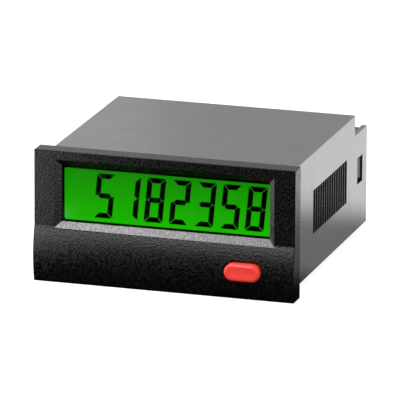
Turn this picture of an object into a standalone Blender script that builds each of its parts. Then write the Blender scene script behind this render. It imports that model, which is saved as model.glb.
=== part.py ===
"""Panel counter: an electronic pulse counter that snaps into a small rectangular panel cut-out.

X runs across the face, Y from the face back to the terminals, Z up. Every piece is placed from the
flat of the bezel (Y = 0) and its middle height (Z = 0). An empty then sets the whole counter on its
base, with the origin below the middle of its length.
"""

import math

import bmesh
import bpy
from mathutils import Matrix, Vector

# Smoothness of round shapes, and the angle in degrees above which an edge is sharp
FINE_SIDES = 40
ROUND_SIDES = 24
HOLE_SIDES = 12
BULGE_STEPS = 16
SHARP_ANGLE = 35

# Clearances
SEAT_GAP = 0.0001
RUNNING_GAP = 0.00015

# Bezel
BEZEL_WIDTH = 0.0480
BEZEL_HEIGHT = 0.0240
FLANGE_DEPTH = 0.0033
FRONT_WALL = 0.0011
EDGE_ROUND = 0.0004
CREASE_DROP = 0.00175
BULGE_FOOT = 0.0003
BULGE_RISE = 0.0007
SIDE_LIP = 0.0015
TOP_LIP = 0.0010
COLLAR_WALL = 0.0010
COLLAR_DEPTH = 0.0017

# Window opening, with its slanted border
SIDE_BORDER = 0.0038
TOP_BORDER = 0.0016
WINDOW_DIP = 0.0003
WINDOW_BEVEL = 0.00106
BEVEL_DEPTH = 0.0009

# Snap arms of the bezel
ARM_THICKNESS = 0.0006
ARM_WIDTH = 0.0050
ARM_HEIGHT = 0.0030
ARM_REACH = 0.0044
NOSE_LENGTH = 0.0010
NOSE_HEIGHT = 0.0004

# Display stack, front to back
PANE_THICKNESS = 0.0008
MASK_THICKNESS = 0.0004
MASK_LAP = 0.00009
MASK_BROW = 0.0007
GLASS_THICKNESS = 0.0010
GUIDE_THICKNESS = 0.0022
STACK_PLAY = 0.0002
STACK_LAP = 0.00116
CONTACT_LEDGE = 0.0013
STRIP_HEIGHT = 0.0010
LED_LENGTH = 0.0008
LED_HEIGHT = 0.0016
LED_SPACING = 0.0044
RIB_THICKNESS = 0.0006

# Reset button and its switch
BUTTON_WIDTH = 0.0066
BUTTON_ABOVE = 0.0032
BUTTON_BELOW = 0.00375
BUTTON_INSET = 0.0092
BUTTON_STAND = 0.0011
BUTTON_ROUND = 0.0005
BUTTON_FLANGE = 0.0006
FLANGE_THICKNESS = 0.0008
SEAL_THICKNESS = 0.0004
BUTTON_TRAVEL = 0.0006
PLUNGER_RADIUS = 0.0012
PLUNGER_LENGTH = 0.0020
SWITCH_SIZE = 0.0038
SWITCH_DEPTH = 0.0034

# Circuit boards
DISPLAY_BOARD_THICKNESS = 0.0012
MAIN_BOARD_THICKNESS = 0.0016
BOARD_SPACE = 0.0003

# Housing
BODY_DEPTH = 0.0482
HOUSING_WALL = 0.0010
CORNER_ROUND = 0.0002
STEP_DROP = 0.00385
CHEEK_LENGTH = 0.0080
RISER_WALL = 0.0012
RAIL_DEPTH = 0.0016
RAIL_THICKNESS = 0.0009

# Ratchet rack on each side
RACK_START = 0.0166
RACK_STOP = 0.0070
RACK_PITCH = 0.00145
RACK_CREST = 0.00015
RACK_DEPTH = 0.0006
RACK_HEIGHT = 0.0080

# Rear cover and its latches
LATCH_INSET = 0.0029
LATCH_LENGTH = 0.0034
LATCH_HEIGHT = 0.0049
HOOK_WIDTH = 0.0037
HOOK_RECESS = 0.00035
COVER_THICKNESS = 0.0012
COVER_ARM = 0.0005
SIDE_SLOT = 0.0008

# Terminals
TERMINAL_COUNT = 8
TERMINAL_MARGIN = 0.0032
BLOCK_INSET = 0.0014
BLOCK_LENGTH = 0.0085
BLOCK_DROP = 0.00215
BLOCK_FLOOR = 0.0010
ENTRY_WIDTH = 0.0038
ENTRY_ROOF = 0.0015
WIRE_ROOM = 0.00165
SCREW_SETBACK = 0.0035
SCREW_HEAD_RADIUS = 0.0018
SCREW_HEAD_HEIGHT = 0.0014
SCREW_HEAD_SINK = 0.0005
SCREW_SHANK_RADIUS = 0.00115
SLOT_WIDTH = 0.0005
SLOT_DEPTH = 0.0006
CLAMP_LENGTH = 0.0045
CLAMP_WALL = 0.0005
PIN_RADIUS = 0.0005
PIN_LENGTH = 0.0044

# Link between the boards
LINK_PINS = 7
LINK_PITCH = 0.00254
LINK_INSET = 0.0035
LINK_PIN = 0.0005
LINK_HOLE_RADIUS = 0.0004
LINK_BAR = 0.0018

# Lithium cell
CELL_INSET = 0.0036
CELL_RADIUS = 0.0100
CELL_THICKNESS = 0.0050
CELL_RIM = 0.0006
TAB_THICKNESS = 0.0003
TAB_WIDTH = 0.0040
TAB_TAIL = 0.0010

# Small components on the main board
COMPONENT_GAP = 0.0004
CHIP_INSET = 0.0008
CHIP_LENGTH = 0.0103
CHIP_WIDTH = 0.0075
CHIP_HEIGHT = 0.0023
LEAD_PAIRS = 8
LEAD_PITCH = 0.00127
LEAD_WIDTH = 0.0004
LEAD_REACH = 0.0014
CRYSTAL_WIDTH = 0.0038
CRYSTAL_LENGTH = 0.0080
CRYSTAL_HEIGHT = 0.0016
CAPACITOR_RADIUS = 0.00315
CAPACITOR_HEIGHT = 0.0080
REGULATOR_WIDTH = 0.0045
REGULATOR_DEPTH = 0.0025
REGULATOR_HEIGHT = 0.0015
REGULATOR_TAB = 0.0020
COUPLER_SPACING = 0.0052
COUPLER_WIDTH = 0.0044
COUPLER_LENGTH = 0.0056
COUPLER_HEIGHT = 0.0034

# Places that follow from the sizes above
OVERLAP = 0.0003
BEZEL_X = BEZEL_WIDTH / 2
BEZEL_Z = BEZEL_HEIGHT / 2
BODY_X = BEZEL_X - SIDE_LIP
BODY_Z = BEZEL_Z - TOP_LIP
COLLAR_END = FLANGE_DEPTH + COLLAR_DEPTH
CAVITY_X = BODY_X - COLLAR_WALL
CAVITY_Z = BODY_Z - COLLAR_WALL
HOUSING_START = COLLAR_END + SEAT_GAP
HOUSING_END = FLANGE_DEPTH + BODY_DEPTH
INNER_X = BODY_X - HOUSING_WALL
INNER_Z = BODY_Z - HOUSING_WALL

WINDOW_X = BEZEL_X - SIDE_BORDER
WINDOW_TOP = BEZEL_Z - TOP_BORDER
WINDOW_BOTTOM = -CREASE_DROP - WINDOW_DIP
OPENING_X = WINDOW_X - WINDOW_BEVEL
OPENING_TOP = WINDOW_TOP - WINDOW_BEVEL
OPENING_BOTTOM = WINDOW_BOTTOM + WINDOW_BEVEL

PANE_Y = FRONT_WALL + SEAT_GAP
MASK_Y = PANE_Y + PANE_THICKNESS + SEAT_GAP
LCD_Y = MASK_Y + MASK_THICKNESS + SEAT_GAP
LCD_BACK_Y = LCD_Y + GLASS_THICKNESS
GUIDE_Y = LCD_BACK_Y + GLASS_THICKNESS + SEAT_GAP
DISPLAY_BOARD_Y = GUIDE_Y + GUIDE_THICKNESS + SEAT_GAP
DISPLAY_BOARD_END = DISPLAY_BOARD_Y + DISPLAY_BOARD_THICKNESS
STACK_X = CAVITY_X - STACK_PLAY
STACK_TOP = CAVITY_Z - STACK_PLAY
STACK_BOTTOM = OPENING_BOTTOM - STACK_LAP

ARM_OUTER_X = INNER_X - SEAT_GAP
ARM_INNER_X = ARM_OUTER_X - ARM_THICKNESS
ARM_FOOT_Y = LCD_BACK_Y + STACK_PLAY
ARM_END = COLLAR_END + ARM_REACH
BOARD_X = ARM_INNER_X - STACK_PLAY

BUTTON_X = BEZEL_X - BUTTON_INSET
BUTTON_TOP = -CREASE_DROP - BUTTON_ABOVE
BUTTON_BOTTOM = BUTTON_BELOW - BEZEL_Z
BUTTON_Z = (BUTTON_TOP + BUTTON_BOTTOM) / 2
BUTTON_HEIGHT = BUTTON_TOP - BUTTON_BOTTOM
BUTTON_FRONT = -BULGE_FOOT / 2 - BULGE_RISE - BUTTON_STAND
SEAL_Y = FRONT_WALL + SEAT_GAP
BUTTON_FLANGE_Y = SEAL_Y + SEAL_THICKNESS + SEAT_GAP
BUTTON_END = BUTTON_FLANGE_Y + FLANGE_THICKNESS
SWITCH_END = DISPLAY_BOARD_Y - SEAT_GAP

STEP_Y = HOUSING_END - CHEEK_LENGTH
CHEEK_TOP = BODY_Z - STEP_DROP
LATCH_END = HOUSING_END - LATCH_INSET
LATCH_START = LATCH_END - LATCH_LENGTH
RACK_TEETH = int((LATCH_START - RACK_STOP - RACK_START + RACK_CREST) / RACK_PITCH)
BLOCK_END = HOUSING_END - BLOCK_INSET
BLOCK_START = BLOCK_END - BLOCK_LENGTH
BLOCK_TOP = CHEEK_TOP - SEAT_GAP
BLOCK_BOTTOM = -BLOCK_DROP
BLOCK_X = INNER_X - SIDE_SLOT
SHOULDER_X = INNER_X - STACK_PLAY
SHOULDER_BOTTOM = HOOK_WIDTH / 2 + STACK_PLAY
TERMINAL_PITCH = 2 * (BLOCK_X - TERMINAL_MARGIN) / (TERMINAL_COUNT - 1)
MAIN_BOARD_TOP = BLOCK_BOTTOM - SEAT_GAP
MAIN_BOARD_BOTTOM = MAIN_BOARD_TOP - MAIN_BOARD_THICKNESS
MAIN_BOARD_START = DISPLAY_BOARD_END + BOARD_SPACE
COVER_START = BLOCK_END - COVER_THICKNESS
MAIN_BOARD_END = COVER_START - STACK_PLAY
SCREW_Y = BLOCK_END - SCREW_SETBACK
HEAD_TOP = BLOCK_TOP - SCREW_HEAD_SINK
HEAD_BOTTOM = HEAD_TOP - SCREW_HEAD_HEIGHT
ENTRY_BOTTOM = BLOCK_BOTTOM + BLOCK_FLOOR
ENTRY_TOP = HEAD_BOTTOM - ENTRY_ROOF
CLAMP_BOTTOM = ENTRY_BOTTOM + RUNNING_GAP
CLAMP_TOP = ENTRY_TOP - RUNNING_GAP
SHANK_TIP = CLAMP_BOTTOM + CLAMP_WALL + WIRE_ROOM
COMPONENT_Z = MAIN_BOARD_TOP + SEAT_GAP
UNDERSIDE_Z = MAIN_BOARD_BOTTOM - SEAT_GAP

RAIL_X = INNER_X - RAIL_DEPTH
RAIL_END = BLOCK_START - COMPONENT_GAP
COMPONENT_X = RAIL_X - STACK_PLAY
CELL_X = CELL_RADIUS - COMPONENT_X
CELL_Y = MAIN_BOARD_START + CELL_INSET + CELL_RADIUS
CHIP_X = COMPONENT_X - CHIP_WIDTH / 2
CHIP_START = MAIN_BOARD_START + CHIP_INSET
CHIP_Y = CHIP_START + CHIP_LENGTH / 2
CAPACITOR_FOOT = CAPACITOR_RADIUS + RUNNING_GAP
CAPACITOR_X = COMPONENT_X - CAPACITOR_FOOT
CAPACITOR_Y = CHIP_START + CHIP_LENGTH + COMPONENT_GAP + CAPACITOR_FOOT
COUPLER_Y = BLOCK_START - COMPONENT_GAP - COUPLER_LENGTH / 2

# Directions of a flat outline: its own X, Y and thickness laid along the object's axes
OUTLINE_PLANES = {
    "X": Matrix(((0, 0, 1), (1, 0, 0), (0, 1, 0))).to_4x4(),
    "Y": Matrix(((1, 0, 0), (0, 0, -1), (0, 1, 0))).to_4x4(),
    "Z": Matrix.Identity(4),
}
AXIS_VECTORS = {"X": Vector((1, 0, 0)), "Y": Vector((0, 1, 0)), "Z": Vector((0, 0, 1))}


def clear_scene():
    """Empty the file of its starting objects."""
    for leftover in list(bpy.data.objects):
        bpy.data.objects.remove(leftover)


def new_collection(name):
    """A collection linked to the scene."""
    collection = bpy.data.collections.new(name)
    bpy.context.scene.collection.children.link(collection)
    return collection


clear_scene()
PARTS = new_collection("panel_counter")
CUTTERS = new_collection("cutters_and_guides")
BASE = bpy.data.objects.new("counter_base", None)
PARTS.objects.link(BASE)


def finish(name, colour, roughness, metallic=0.0, transmission=0.0):
    """A Principled material for one piece."""
    material = bpy.data.materials.new(name)
    material.use_nodes = True
    shader = material.node_tree.nodes["Principled BSDF"]
    shader.inputs["Base Color"].default_value = (*colour, 1.0)
    shader.inputs["Roughness"].default_value = roughness
    shader.inputs["Metallic"].default_value = metallic
    shader.inputs["Transmission Weight"].default_value = transmission
    material.diffuse_color = (*colour, 1.0)
    return material


def keep(piece, material):
    """Move a piece to the object's collection and give it its material."""
    CUTTERS.objects.unlink(piece)
    PARTS.objects.link(piece)
    piece.data.materials.clear()
    piece.data.materials.append(material)
    piece.hide_render = False
    piece.display_type = "TEXTURED"
    return piece


def tool_object(name, mesh, matrix):
    """Link a mesh as a cutter or guide; keep() turns it into a piece."""
    shape = bpy.data.objects.new(name, mesh)
    CUTTERS.objects.link(shape)
    shape.matrix_world = matrix
    shape.parent = BASE
    shape.hide_render = True
    shape.display_type = "WIRE"
    return shape


def box(name, x, y, z):
    """A block between pairs of X, Y and Z positions, with its origin at its middle."""
    size = Vector((x[1] - x[0], y[1] - y[0], z[1] - z[0]))
    centre = Vector((x[0] + x[1], y[0] + y[1], z[0] + z[1])) / 2
    mesh = bpy.data.meshes.new(name)
    shape = bmesh.new()
    bmesh.ops.create_cube(shape, size=1.0)
    bmesh.ops.scale(shape, vec=size, verts=shape.verts)
    shape.to_mesh(mesh)
    shape.free()
    return tool_object(name, mesh, Matrix.Translation(centre))


def cylinder(name, axis, centre, radius, length, sides=ROUND_SIDES):
    """A round bar along an axis, with its origin at its middle."""
    mesh = bpy.data.meshes.new(name)
    shape = bmesh.new()
    bmesh.ops.create_cone(
        shape, cap_ends=True, segments=sides, radius1=radius, radius2=radius, depth=length
    )
    turn = Vector((0, 0, 1)).rotation_difference(AXIS_VECTORS[axis]).to_matrix()
    bmesh.ops.rotate(shape, matrix=turn, verts=shape.verts)
    shape.to_mesh(mesh)
    shape.free()
    mesh.shade_smooth()
    mesh.set_sharp_from_angle(angle=math.radians(SHARP_ANGLE))
    return tool_object(name, mesh, Matrix.Translation(centre))


def prism(name, axis, loops, start, end):
    """Flat closed outlines filled and extruded along an axis from start to end."""
    curve = bpy.data.curves.new(name, "CURVE")
    curve.dimensions = "2D"
    curve.fill_mode = "BOTH"
    curve.extrude = (end - start) / 2
    for loop in loops:
        spline = curve.splines.new("POLY")
        spline.points.add(len(loop) - 1)
        for point, (across, up) in zip(spline.points, loop):
            point.co = (across, up, 0, 1)
        spline.use_cyclic_u = True
    drawing = bpy.data.objects.new(name + "_outline", curve)
    CUTTERS.objects.link(drawing)
    depsgraph = bpy.context.evaluated_depsgraph_get()
    mesh = bpy.data.meshes.new_from_object(drawing.evaluated_get(depsgraph))
    mesh.name = name
    bpy.data.objects.remove(drawing)
    shape = bmesh.new()
    shape.from_mesh(mesh)
    bmesh.ops.remove_doubles(shape, verts=shape.verts, dist=0.000001)
    bmesh.ops.recalc_face_normals(shape, faces=shape.faces)
    shape.to_mesh(mesh)
    shape.free()
    middle = Matrix.Translation(AXIS_VECTORS[axis] * (start + end) / 2)
    return tool_object(name, mesh, middle @ OUTLINE_PLANES[axis])


def combine(target, operation, *tools):
    """Cut tools from a target, or join them to it."""
    for tool in tools:
        modifier = target.modifiers.new(operation.lower() + " " + tool.name, "BOOLEAN")
        modifier.operation = operation
        modifier.solver = "EXACT"
        modifier.object = tool
    return target


def cut(target, *tools):
    """Cut tools away from a target."""
    return combine(target, "DIFFERENCE", *tools)


def join(target, *tools):
    """Join tools to a target as one body."""
    return combine(target, "UNION", *tools)


def round_edges(piece, width, segments, chosen):
    """Round the sharp edges of a piece for which chosen(edge) holds."""
    mesh = piece.data
    shape = bmesh.new()
    shape.from_mesh(mesh)
    weights = shape.edges.layers.float.new("bevel_weight_edge")
    for edge in shape.edges:
        sharp = edge.calc_face_angle(0) > math.radians(SHARP_ANGLE)
        edge[weights] = 1.0 if sharp and chosen(edge) else 0.0
    shape.to_mesh(mesh)
    shape.free()
    rounding = piece.modifiers.new("rounded edges", "BEVEL")
    rounding.width = width
    rounding.segments = segments
    rounding.limit_method = "WEIGHT"


def arc(centre, radius, start, end, steps):
    """Points along an arc, from a start angle to an end angle in degrees."""
    points = []
    for step in range(steps + 1):
        angle = math.radians(start + (end - start) * step / steps)
        points.append((centre[0] + radius * math.cos(angle), centre[1] + radius * math.sin(angle)))
    return points


def bowed(start, end, rise, steps):
    """Points along an arc between two places; it bows out to the right of the way there by rise."""
    way = Vector(end) - Vector(start)
    half = way.length / 2
    radius = (half ** 2 + rise ** 2) / (2 * rise)
    way.normalize()
    out = Vector((way.y, -way.x))
    centre = (Vector(start) + Vector(end)) / 2 - out * (radius - rise)
    spread = math.asin(half / radius)
    turns = [spread * (2 * step / steps - 1) for step in range(steps + 1)]
    return [tuple(centre + (out * math.cos(turn) + way * math.sin(turn)) * radius) for turn in turns]


def rectangle(x, y):
    """A rectangular outline between pairs of positions."""
    return [(x[0], y[0]), (x[1], y[0]), (x[1], y[1]), (x[0], y[1])]


def rounded_rectangle(half_width, half_height, radius, steps=3):
    """A rectangular outline about the middle, with rounded corners."""
    across = half_width - radius
    up = half_height - radius
    corners = [(across, up, 0), (-across, up, 90), (-across, -up, 180), (across, -up, 270)]
    outline = []
    for centre_x, centre_y, turn in corners:
        outline += arc((centre_x, centre_y), radius, turn, turn + 90, steps)
    return outline


def stadium(centre, width, height, steps=8):
    """An oblong outline with half-round ends, longer across than up."""
    radius = height / 2
    reach = width / 2 - radius
    right = arc((centre[0] + reach, centre[1]), radius, -90, 90, steps)
    left = arc((centre[0] - reach, centre[1]), radius, 90, 270, steps)
    return right + left


def mirrored(outline):
    """The same outline on the left side."""
    return [(-across, up) for across, up in outline]


def front_bezel(plastic):
    """Flange with flat upper face and bulged lower band, window, button hole, collar and snap arms."""
    bulge = bowed((0, -CREASE_DROP), (-BULGE_FOOT, -BEZEL_Z), BULGE_RISE, BULGE_STEPS)
    profile = [(FLANGE_DEPTH, BEZEL_Z), (0, BEZEL_Z)] + bulge + [(FLANGE_DEPTH, -BEZEL_Z)]
    bezel = prism("front_bezel", "X", [profile], -BEZEL_X, BEZEL_X)

    def on_front(edge):
        """Edges of the face and sides; the rim that lies on the panel stays sharp."""
        return any(corner.co.x < FLANGE_DEPTH / 2 for corner in edge.verts)

    round_edges(bezel, EDGE_ROUND, 3, on_front)
    collar_outline = rounded_rectangle(BODY_X, BODY_Z, CORNER_ROUND)
    collar = prism("collar", "Y", [collar_outline], FLANGE_DEPTH - OVERLAP, COLLAR_END)
    cavity = box(
        "collar_cavity",
        (-CAVITY_X, CAVITY_X),
        (FRONT_WALL, COLLAR_END + OVERLAP),
        (-CAVITY_Z, CAVITY_Z),
    )
    rib_top = STACK_BOTTOM - STACK_PLAY
    rib = box(
        "stack_rib",
        (-BOARD_X, BOARD_X),
        (FRONT_WALL - OVERLAP, DISPLAY_BOARD_Y - STACK_PLAY),
        (rib_top - RIB_THICKNESS, rib_top),
    )
    button_hole = prism(
        "button_hole",
        "Y",
        [stadium((BUTTON_X, BUTTON_Z), BUTTON_WIDTH + 2 * RUNNING_GAP, BUTTON_HEIGHT + 2 * RUNNING_GAP)],
        BUTTON_FRONT,
        FRONT_WALL + OVERLAP,
    )
    join(bezel, collar)
    cut(bezel, cavity, window_cutter(), button_hole)
    join(bezel, rib)
    nose_start = ARM_END - NOSE_LENGTH
    arm = [
        (CAVITY_X + OVERLAP, ARM_FOOT_Y),
        (CAVITY_X + OVERLAP, COLLAR_END - OVERLAP),
        (ARM_OUTER_X, COLLAR_END - OVERLAP),
        (ARM_OUTER_X, nose_start),
        (ARM_OUTER_X + NOSE_HEIGHT, nose_start),
        (ARM_OUTER_X + NOSE_HEIGHT, nose_start + NOSE_HEIGHT),
        (ARM_OUTER_X, ARM_END),
        (ARM_INNER_X, ARM_END),
        (ARM_INNER_X, ARM_FOOT_Y),
    ]
    for side, outline in (("right", arm), ("left", mirrored(arm))):
        low = ARM_HEIGHT - ARM_WIDTH / 2
        join(bezel, prism("snap_arm_" + side, "Z", [outline], low, low + ARM_WIDTH))
    return keep(bezel, plastic)


def window_cutter():
    """The window opening: straight through the front wall, then flared out to the face."""
    flare_depth = BEVEL_DEPTH + BULGE_FOOT + BULGE_RISE
    flare = WINDOW_BEVEL * flare_depth / BEVEL_DEPTH
    cutter = box(
        "window_opening",
        (-OPENING_X, OPENING_X),
        (BEVEL_DEPTH, FRONT_WALL + OVERLAP),
        (OPENING_BOTTOM, OPENING_TOP),
    )
    shape = bmesh.new()
    shape.from_mesh(cutter.data)
    front = min(shape.faces, key=lambda face: face.calc_center_median().y)
    pulled = bmesh.ops.extrude_face_region(shape, geom=[front])["geom"]
    bmesh.ops.delete(shape, geom=[front], context="FACES_ONLY")
    for corner in [item for item in pulled if isinstance(item, bmesh.types.BMVert)]:
        corner.co.x += math.copysign(flare, corner.co.x)
        corner.co.z += math.copysign(flare, corner.co.z)
        corner.co.y -= flare_depth
    bmesh.ops.recalc_face_normals(shape, faces=shape.faces)
    shape.to_mesh(cutter.data)
    shape.free()
    return cutter


def display_window(clear_plastic):
    """Clear pane behind the window opening."""
    pane = box(
        "display_window",
        (-STACK_X, STACK_X),
        (PANE_Y, PANE_Y + PANE_THICKNESS),
        (STACK_BOTTOM, STACK_TOP),
    )
    return keep(pane, clear_plastic)


def display_mask(black_film):
    """Black frame behind the pane that hides the edges of the cell."""
    across = OPENING_X - MASK_LAP
    opening = rectangle((-across, across), (OPENING_BOTTOM + MASK_LAP, OPENING_TOP - MASK_BROW))
    outline = rectangle((-STACK_X, STACK_X), (STACK_BOTTOM, STACK_TOP))
    return keep(prism("display_mask", "Y", [outline, opening], MASK_Y, MASK_Y + MASK_THICKNESS), black_film)


def lcd_cell(glass):
    """Two glass plates; the front one overhangs below to carry the contacts."""
    front = box("lcd_cell", (-STACK_X, STACK_X), (LCD_Y, LCD_BACK_Y), (STACK_BOTTOM, STACK_TOP))
    back = box(
        "lcd_rear_plate",
        (-BOARD_X, BOARD_X),
        (LCD_BACK_Y - OVERLAP, LCD_BACK_Y + GLASS_THICKNESS),
        (STACK_BOTTOM + CONTACT_LEDGE, STACK_TOP - STACK_PLAY),
    )
    return keep(join(front, back), glass)


def light_guide(clear_plastic):
    """Clear block that spreads the light of the lamps at its two ends."""
    reach = BOARD_X - 2 * SEAT_GAP - LED_LENGTH
    guide = box(
        "light_guide",
        (-reach, reach),
        (GUIDE_Y, GUIDE_Y + GUIDE_THICKNESS),
        (STACK_BOTTOM + CONTACT_LEDGE + SEAT_GAP, STACK_TOP - STACK_PLAY),
    )
    return keep(guide, clear_plastic)


def backlight_leds(green_resin):
    """Two lamps at each end of the light guide, on the display board."""
    middle = (STACK_BOTTOM + CONTACT_LEDGE + STACK_TOP) / 2
    outer = BOARD_X - SEAT_GAP
    inner = outer - LED_LENGTH
    number = 1
    for side in (-1, 1):
        for level in (-1, 1):
            low = middle + level * LED_SPACING / 2 - LED_HEIGHT / 2
            lamp = box(
                "backlight_led_" + str(number),
                sorted((side * inner, side * outer)),
                (GUIDE_Y + RUNNING_GAP, DISPLAY_BOARD_Y - SEAT_GAP),
                (low, low + LED_HEIGHT),
            )
            keep(lamp, green_resin)
            number += 1


def zebra_strip(rubber):
    """Rubber strip of fine conductors between the glass ledge and the display board."""
    strip = box(
        "zebra_strip",
        (-BOARD_X, BOARD_X),
        (LCD_BACK_Y + SEAT_GAP, DISPLAY_BOARD_Y - SEAT_GAP),
        (STACK_BOTTOM + SEAT_GAP, STACK_BOTTOM + SEAT_GAP + STRIP_HEIGHT),
    )
    return keep(strip, rubber)


def link_places():
    """X positions of the pins that link the two boards."""
    first = LINK_INSET - BLOCK_X
    return [first + index * LINK_PITCH for index in range(LINK_PINS)]


def link_height():
    """Height of the forward pins of the link header."""
    return UNDERSIDE_Z - LINK_BAR / 2


def display_board(laminate):
    """Upright board behind the display, with holes for the link pins."""
    reach = INNER_Z - BOARD_SPACE - STACK_PLAY
    board = box(
        "display_board", (-BOARD_X, BOARD_X), (DISPLAY_BOARD_Y, DISPLAY_BOARD_END), (-reach, reach)
    )
    for x in link_places():
        centre = (x, (DISPLAY_BOARD_Y + DISPLAY_BOARD_END) / 2, link_height())
        depth = 2 * DISPLAY_BOARD_THICKNESS
        cut(board, cylinder("link_hole", "Y", centre, LINK_HOLE_RADIUS, depth, HOLE_SIDES))
    return keep(board, laminate)


def reset_button(red_plastic):
    """Oblong key with a softened rim, and a flange behind the front wall that holds it in."""
    centre = (BUTTON_X, BUTTON_Z)
    outline = stadium(centre, BUTTON_WIDTH, BUTTON_HEIGHT)
    key = prism("reset_button", "Y", [outline], BUTTON_FRONT, BUTTON_FLANGE_Y + OVERLAP)
    front = (BUTTON_FLANGE_Y + OVERLAP - BUTTON_FRONT) / 2 - OVERLAP

    def on_rim(edge):
        """Edges of the front face; the outline's thickness runs towards the front."""
        return all(corner.co.z > front for corner in edge.verts)

    round_edges(key, BUTTON_ROUND, 4, on_rim)
    collar = stadium(centre, BUTTON_WIDTH + 2 * BUTTON_FLANGE, BUTTON_HEIGHT + 2 * BUTTON_FLANGE)
    join(key, prism("button_flange", "Y", [collar], BUTTON_FLANGE_Y, BUTTON_END))
    return keep(key, red_plastic)


def button_seal(rubber):
    """Flat rubber ring between the front wall and the button's flange."""
    centre = (BUTTON_X, BUTTON_Z)
    outer = stadium(centre, BUTTON_WIDTH + 2 * BUTTON_FLANGE, BUTTON_HEIGHT + 2 * BUTTON_FLANGE)
    inner = stadium(centre, BUTTON_WIDTH + 2 * RUNNING_GAP, BUTTON_HEIGHT + 2 * RUNNING_GAP)
    return keep(prism("button_seal", "Y", [outer, inner], SEAL_Y, SEAL_Y + SEAL_THICKNESS), rubber)


def reset_switch(black_plastic, pale_plastic):
    """Square switch on the display board, and the round plunger that the button pushes."""
    start = SWITCH_END - SWITCH_DEPTH
    half = SWITCH_SIZE / 2
    body = box(
        "switch_body",
        (BUTTON_X - half, BUTTON_X + half),
        (start, SWITCH_END),
        (BUTTON_Z - half, BUTTON_Z + half),
    )
    plunger_start = BUTTON_END + SEAT_GAP
    plunger_end = plunger_start + PLUNGER_LENGTH
    bore_start = start - OVERLAP
    bore_end = plunger_end + BUTTON_TRAVEL + SEAT_GAP
    bore_centre = (BUTTON_X, (bore_start + bore_end) / 2, BUTTON_Z)
    bore_radius = PLUNGER_RADIUS + RUNNING_GAP
    cut(body, cylinder("plunger_bore", "Y", bore_centre, bore_radius, bore_end - bore_start))
    keep(body, black_plastic)
    middle = (BUTTON_X, (plunger_start + plunger_end) / 2, BUTTON_Z)
    plunger = cylinder("switch_plunger", "Y", middle, PLUNGER_RADIUS, PLUNGER_LENGTH)
    keep(plunger, pale_plastic)


def main_board(laminate):
    """Long board from the display to the terminals, with holes for the pins of both."""
    board = box(
        "main_board",
        (-BLOCK_X, BLOCK_X),
        (MAIN_BOARD_START, MAIN_BOARD_END),
        (MAIN_BOARD_BOTTOM, MAIN_BOARD_TOP),
    )
    places = [(x, SCREW_Y, PIN_RADIUS + RUNNING_GAP) for x in terminal_places()]
    places += [(x, link_post_y(), LINK_HOLE_RADIUS) for x in link_places()]
    middle = (MAIN_BOARD_BOTTOM + MAIN_BOARD_TOP) / 2
    depth = 2 * MAIN_BOARD_THICKNESS
    for x, y, radius in places:
        cut(board, cylinder("pin_hole", "Z", (x, y, middle), radius, depth, HOLE_SIDES))
    return keep(board, laminate)


def link_post_y():
    """Y position of the upright pins of the link header."""
    return MAIN_BOARD_START + LINK_BAR / 2


def link_header(black_plastic):
    """Bar of angled pins that joins the two boards."""
    places = link_places()
    height = link_height()
    half = LINK_PIN / 2
    bar = box(
        "link_header",
        (places[0] - LINK_PITCH / 2, places[-1] + LINK_PITCH / 2),
        (MAIN_BOARD_START, MAIN_BOARD_START + LINK_BAR),
        (height - LINK_BAR / 2, height + LINK_BAR / 2),
    )
    for x in places:
        forward = box(
            "link_pin_forward",
            (x - half, x + half),
            (DISPLAY_BOARD_Y - LINK_PIN, MAIN_BOARD_START + OVERLAP),
            (height - half, height + half),
        )
        upright = box(
            "link_pin_upright",
            (x - half, x + half),
            (link_post_y() - half, link_post_y() + half),
            (height, MAIN_BOARD_TOP + LINK_PIN),
        )
        join(bar, forward, upright)
    return keep(bar, black_plastic)


def housing(plastic):
    """Open tube with a rear step, ratchet racks, latch windows, snap grooves and board rails."""
    outline = rounded_rectangle(BODY_X, BODY_Z, CORNER_ROUND)
    shell = prism("housing", "Y", [outline], HOUSING_START, HOUSING_END)
    riser_start = STEP_Y - RISER_WALL
    riser_bottom = CHEEK_TOP + RUNNING_GAP
    inside = [
        (HOUSING_START - OVERLAP, -INNER_Z),
        (HOUSING_END + OVERLAP, -INNER_Z),
        (HOUSING_END + OVERLAP, riser_bottom),
        (riser_start, riser_bottom),
        (riser_start, INNER_Z),
        (HOUSING_START - OVERLAP, INNER_Z),
    ]
    hollow = prism("housing_hollow", "X", [inside], -INNER_X, INNER_X)
    step = box(
        "rear_step",
        (-BEZEL_X, BEZEL_X),
        (STEP_Y, HOUSING_END + OVERLAP),
        (CHEEK_TOP, BEZEL_Z),
    )
    cut(shell, hollow, step)
    rail_levels = {
        "lower": MAIN_BOARD_BOTTOM - RUNNING_GAP - RAIL_THICKNESS,
        "upper": MAIN_BOARD_TOP + RUNNING_GAP,
    }
    for level, low in rail_levels.items():
        for side in (-1, 1):
            rail = box(
                "board_rail_" + level,
                sorted((side * RAIL_X, side * (INNER_X + OVERLAP))),
                (MAIN_BOARD_START, RAIL_END),
                (low, low + RAIL_THICKNESS),
            )
            join(shell, rail)
    latch = box(
        "latch_windows",
        (-BEZEL_X, BEZEL_X),
        (LATCH_START, LATCH_END),
        (-LATCH_HEIGHT / 2, LATCH_HEIGHT / 2),
    )
    groove_x = ARM_OUTER_X + NOSE_HEIGHT + SEAT_GAP
    groove = box(
        "snap_grooves",
        (-groove_x, groove_x),
        (ARM_END - NOSE_LENGTH - SEAT_GAP, ARM_END + SEAT_GAP),
        (ARM_HEIGHT - ARM_WIDTH / 2 - STACK_PLAY, ARM_HEIGHT + ARM_WIDTH / 2 + STACK_PLAY),
    )
    cut(shell, latch, groove, rack_cutter("right"), rack_cutter("left"))
    return keep(shell, plastic)


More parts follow.
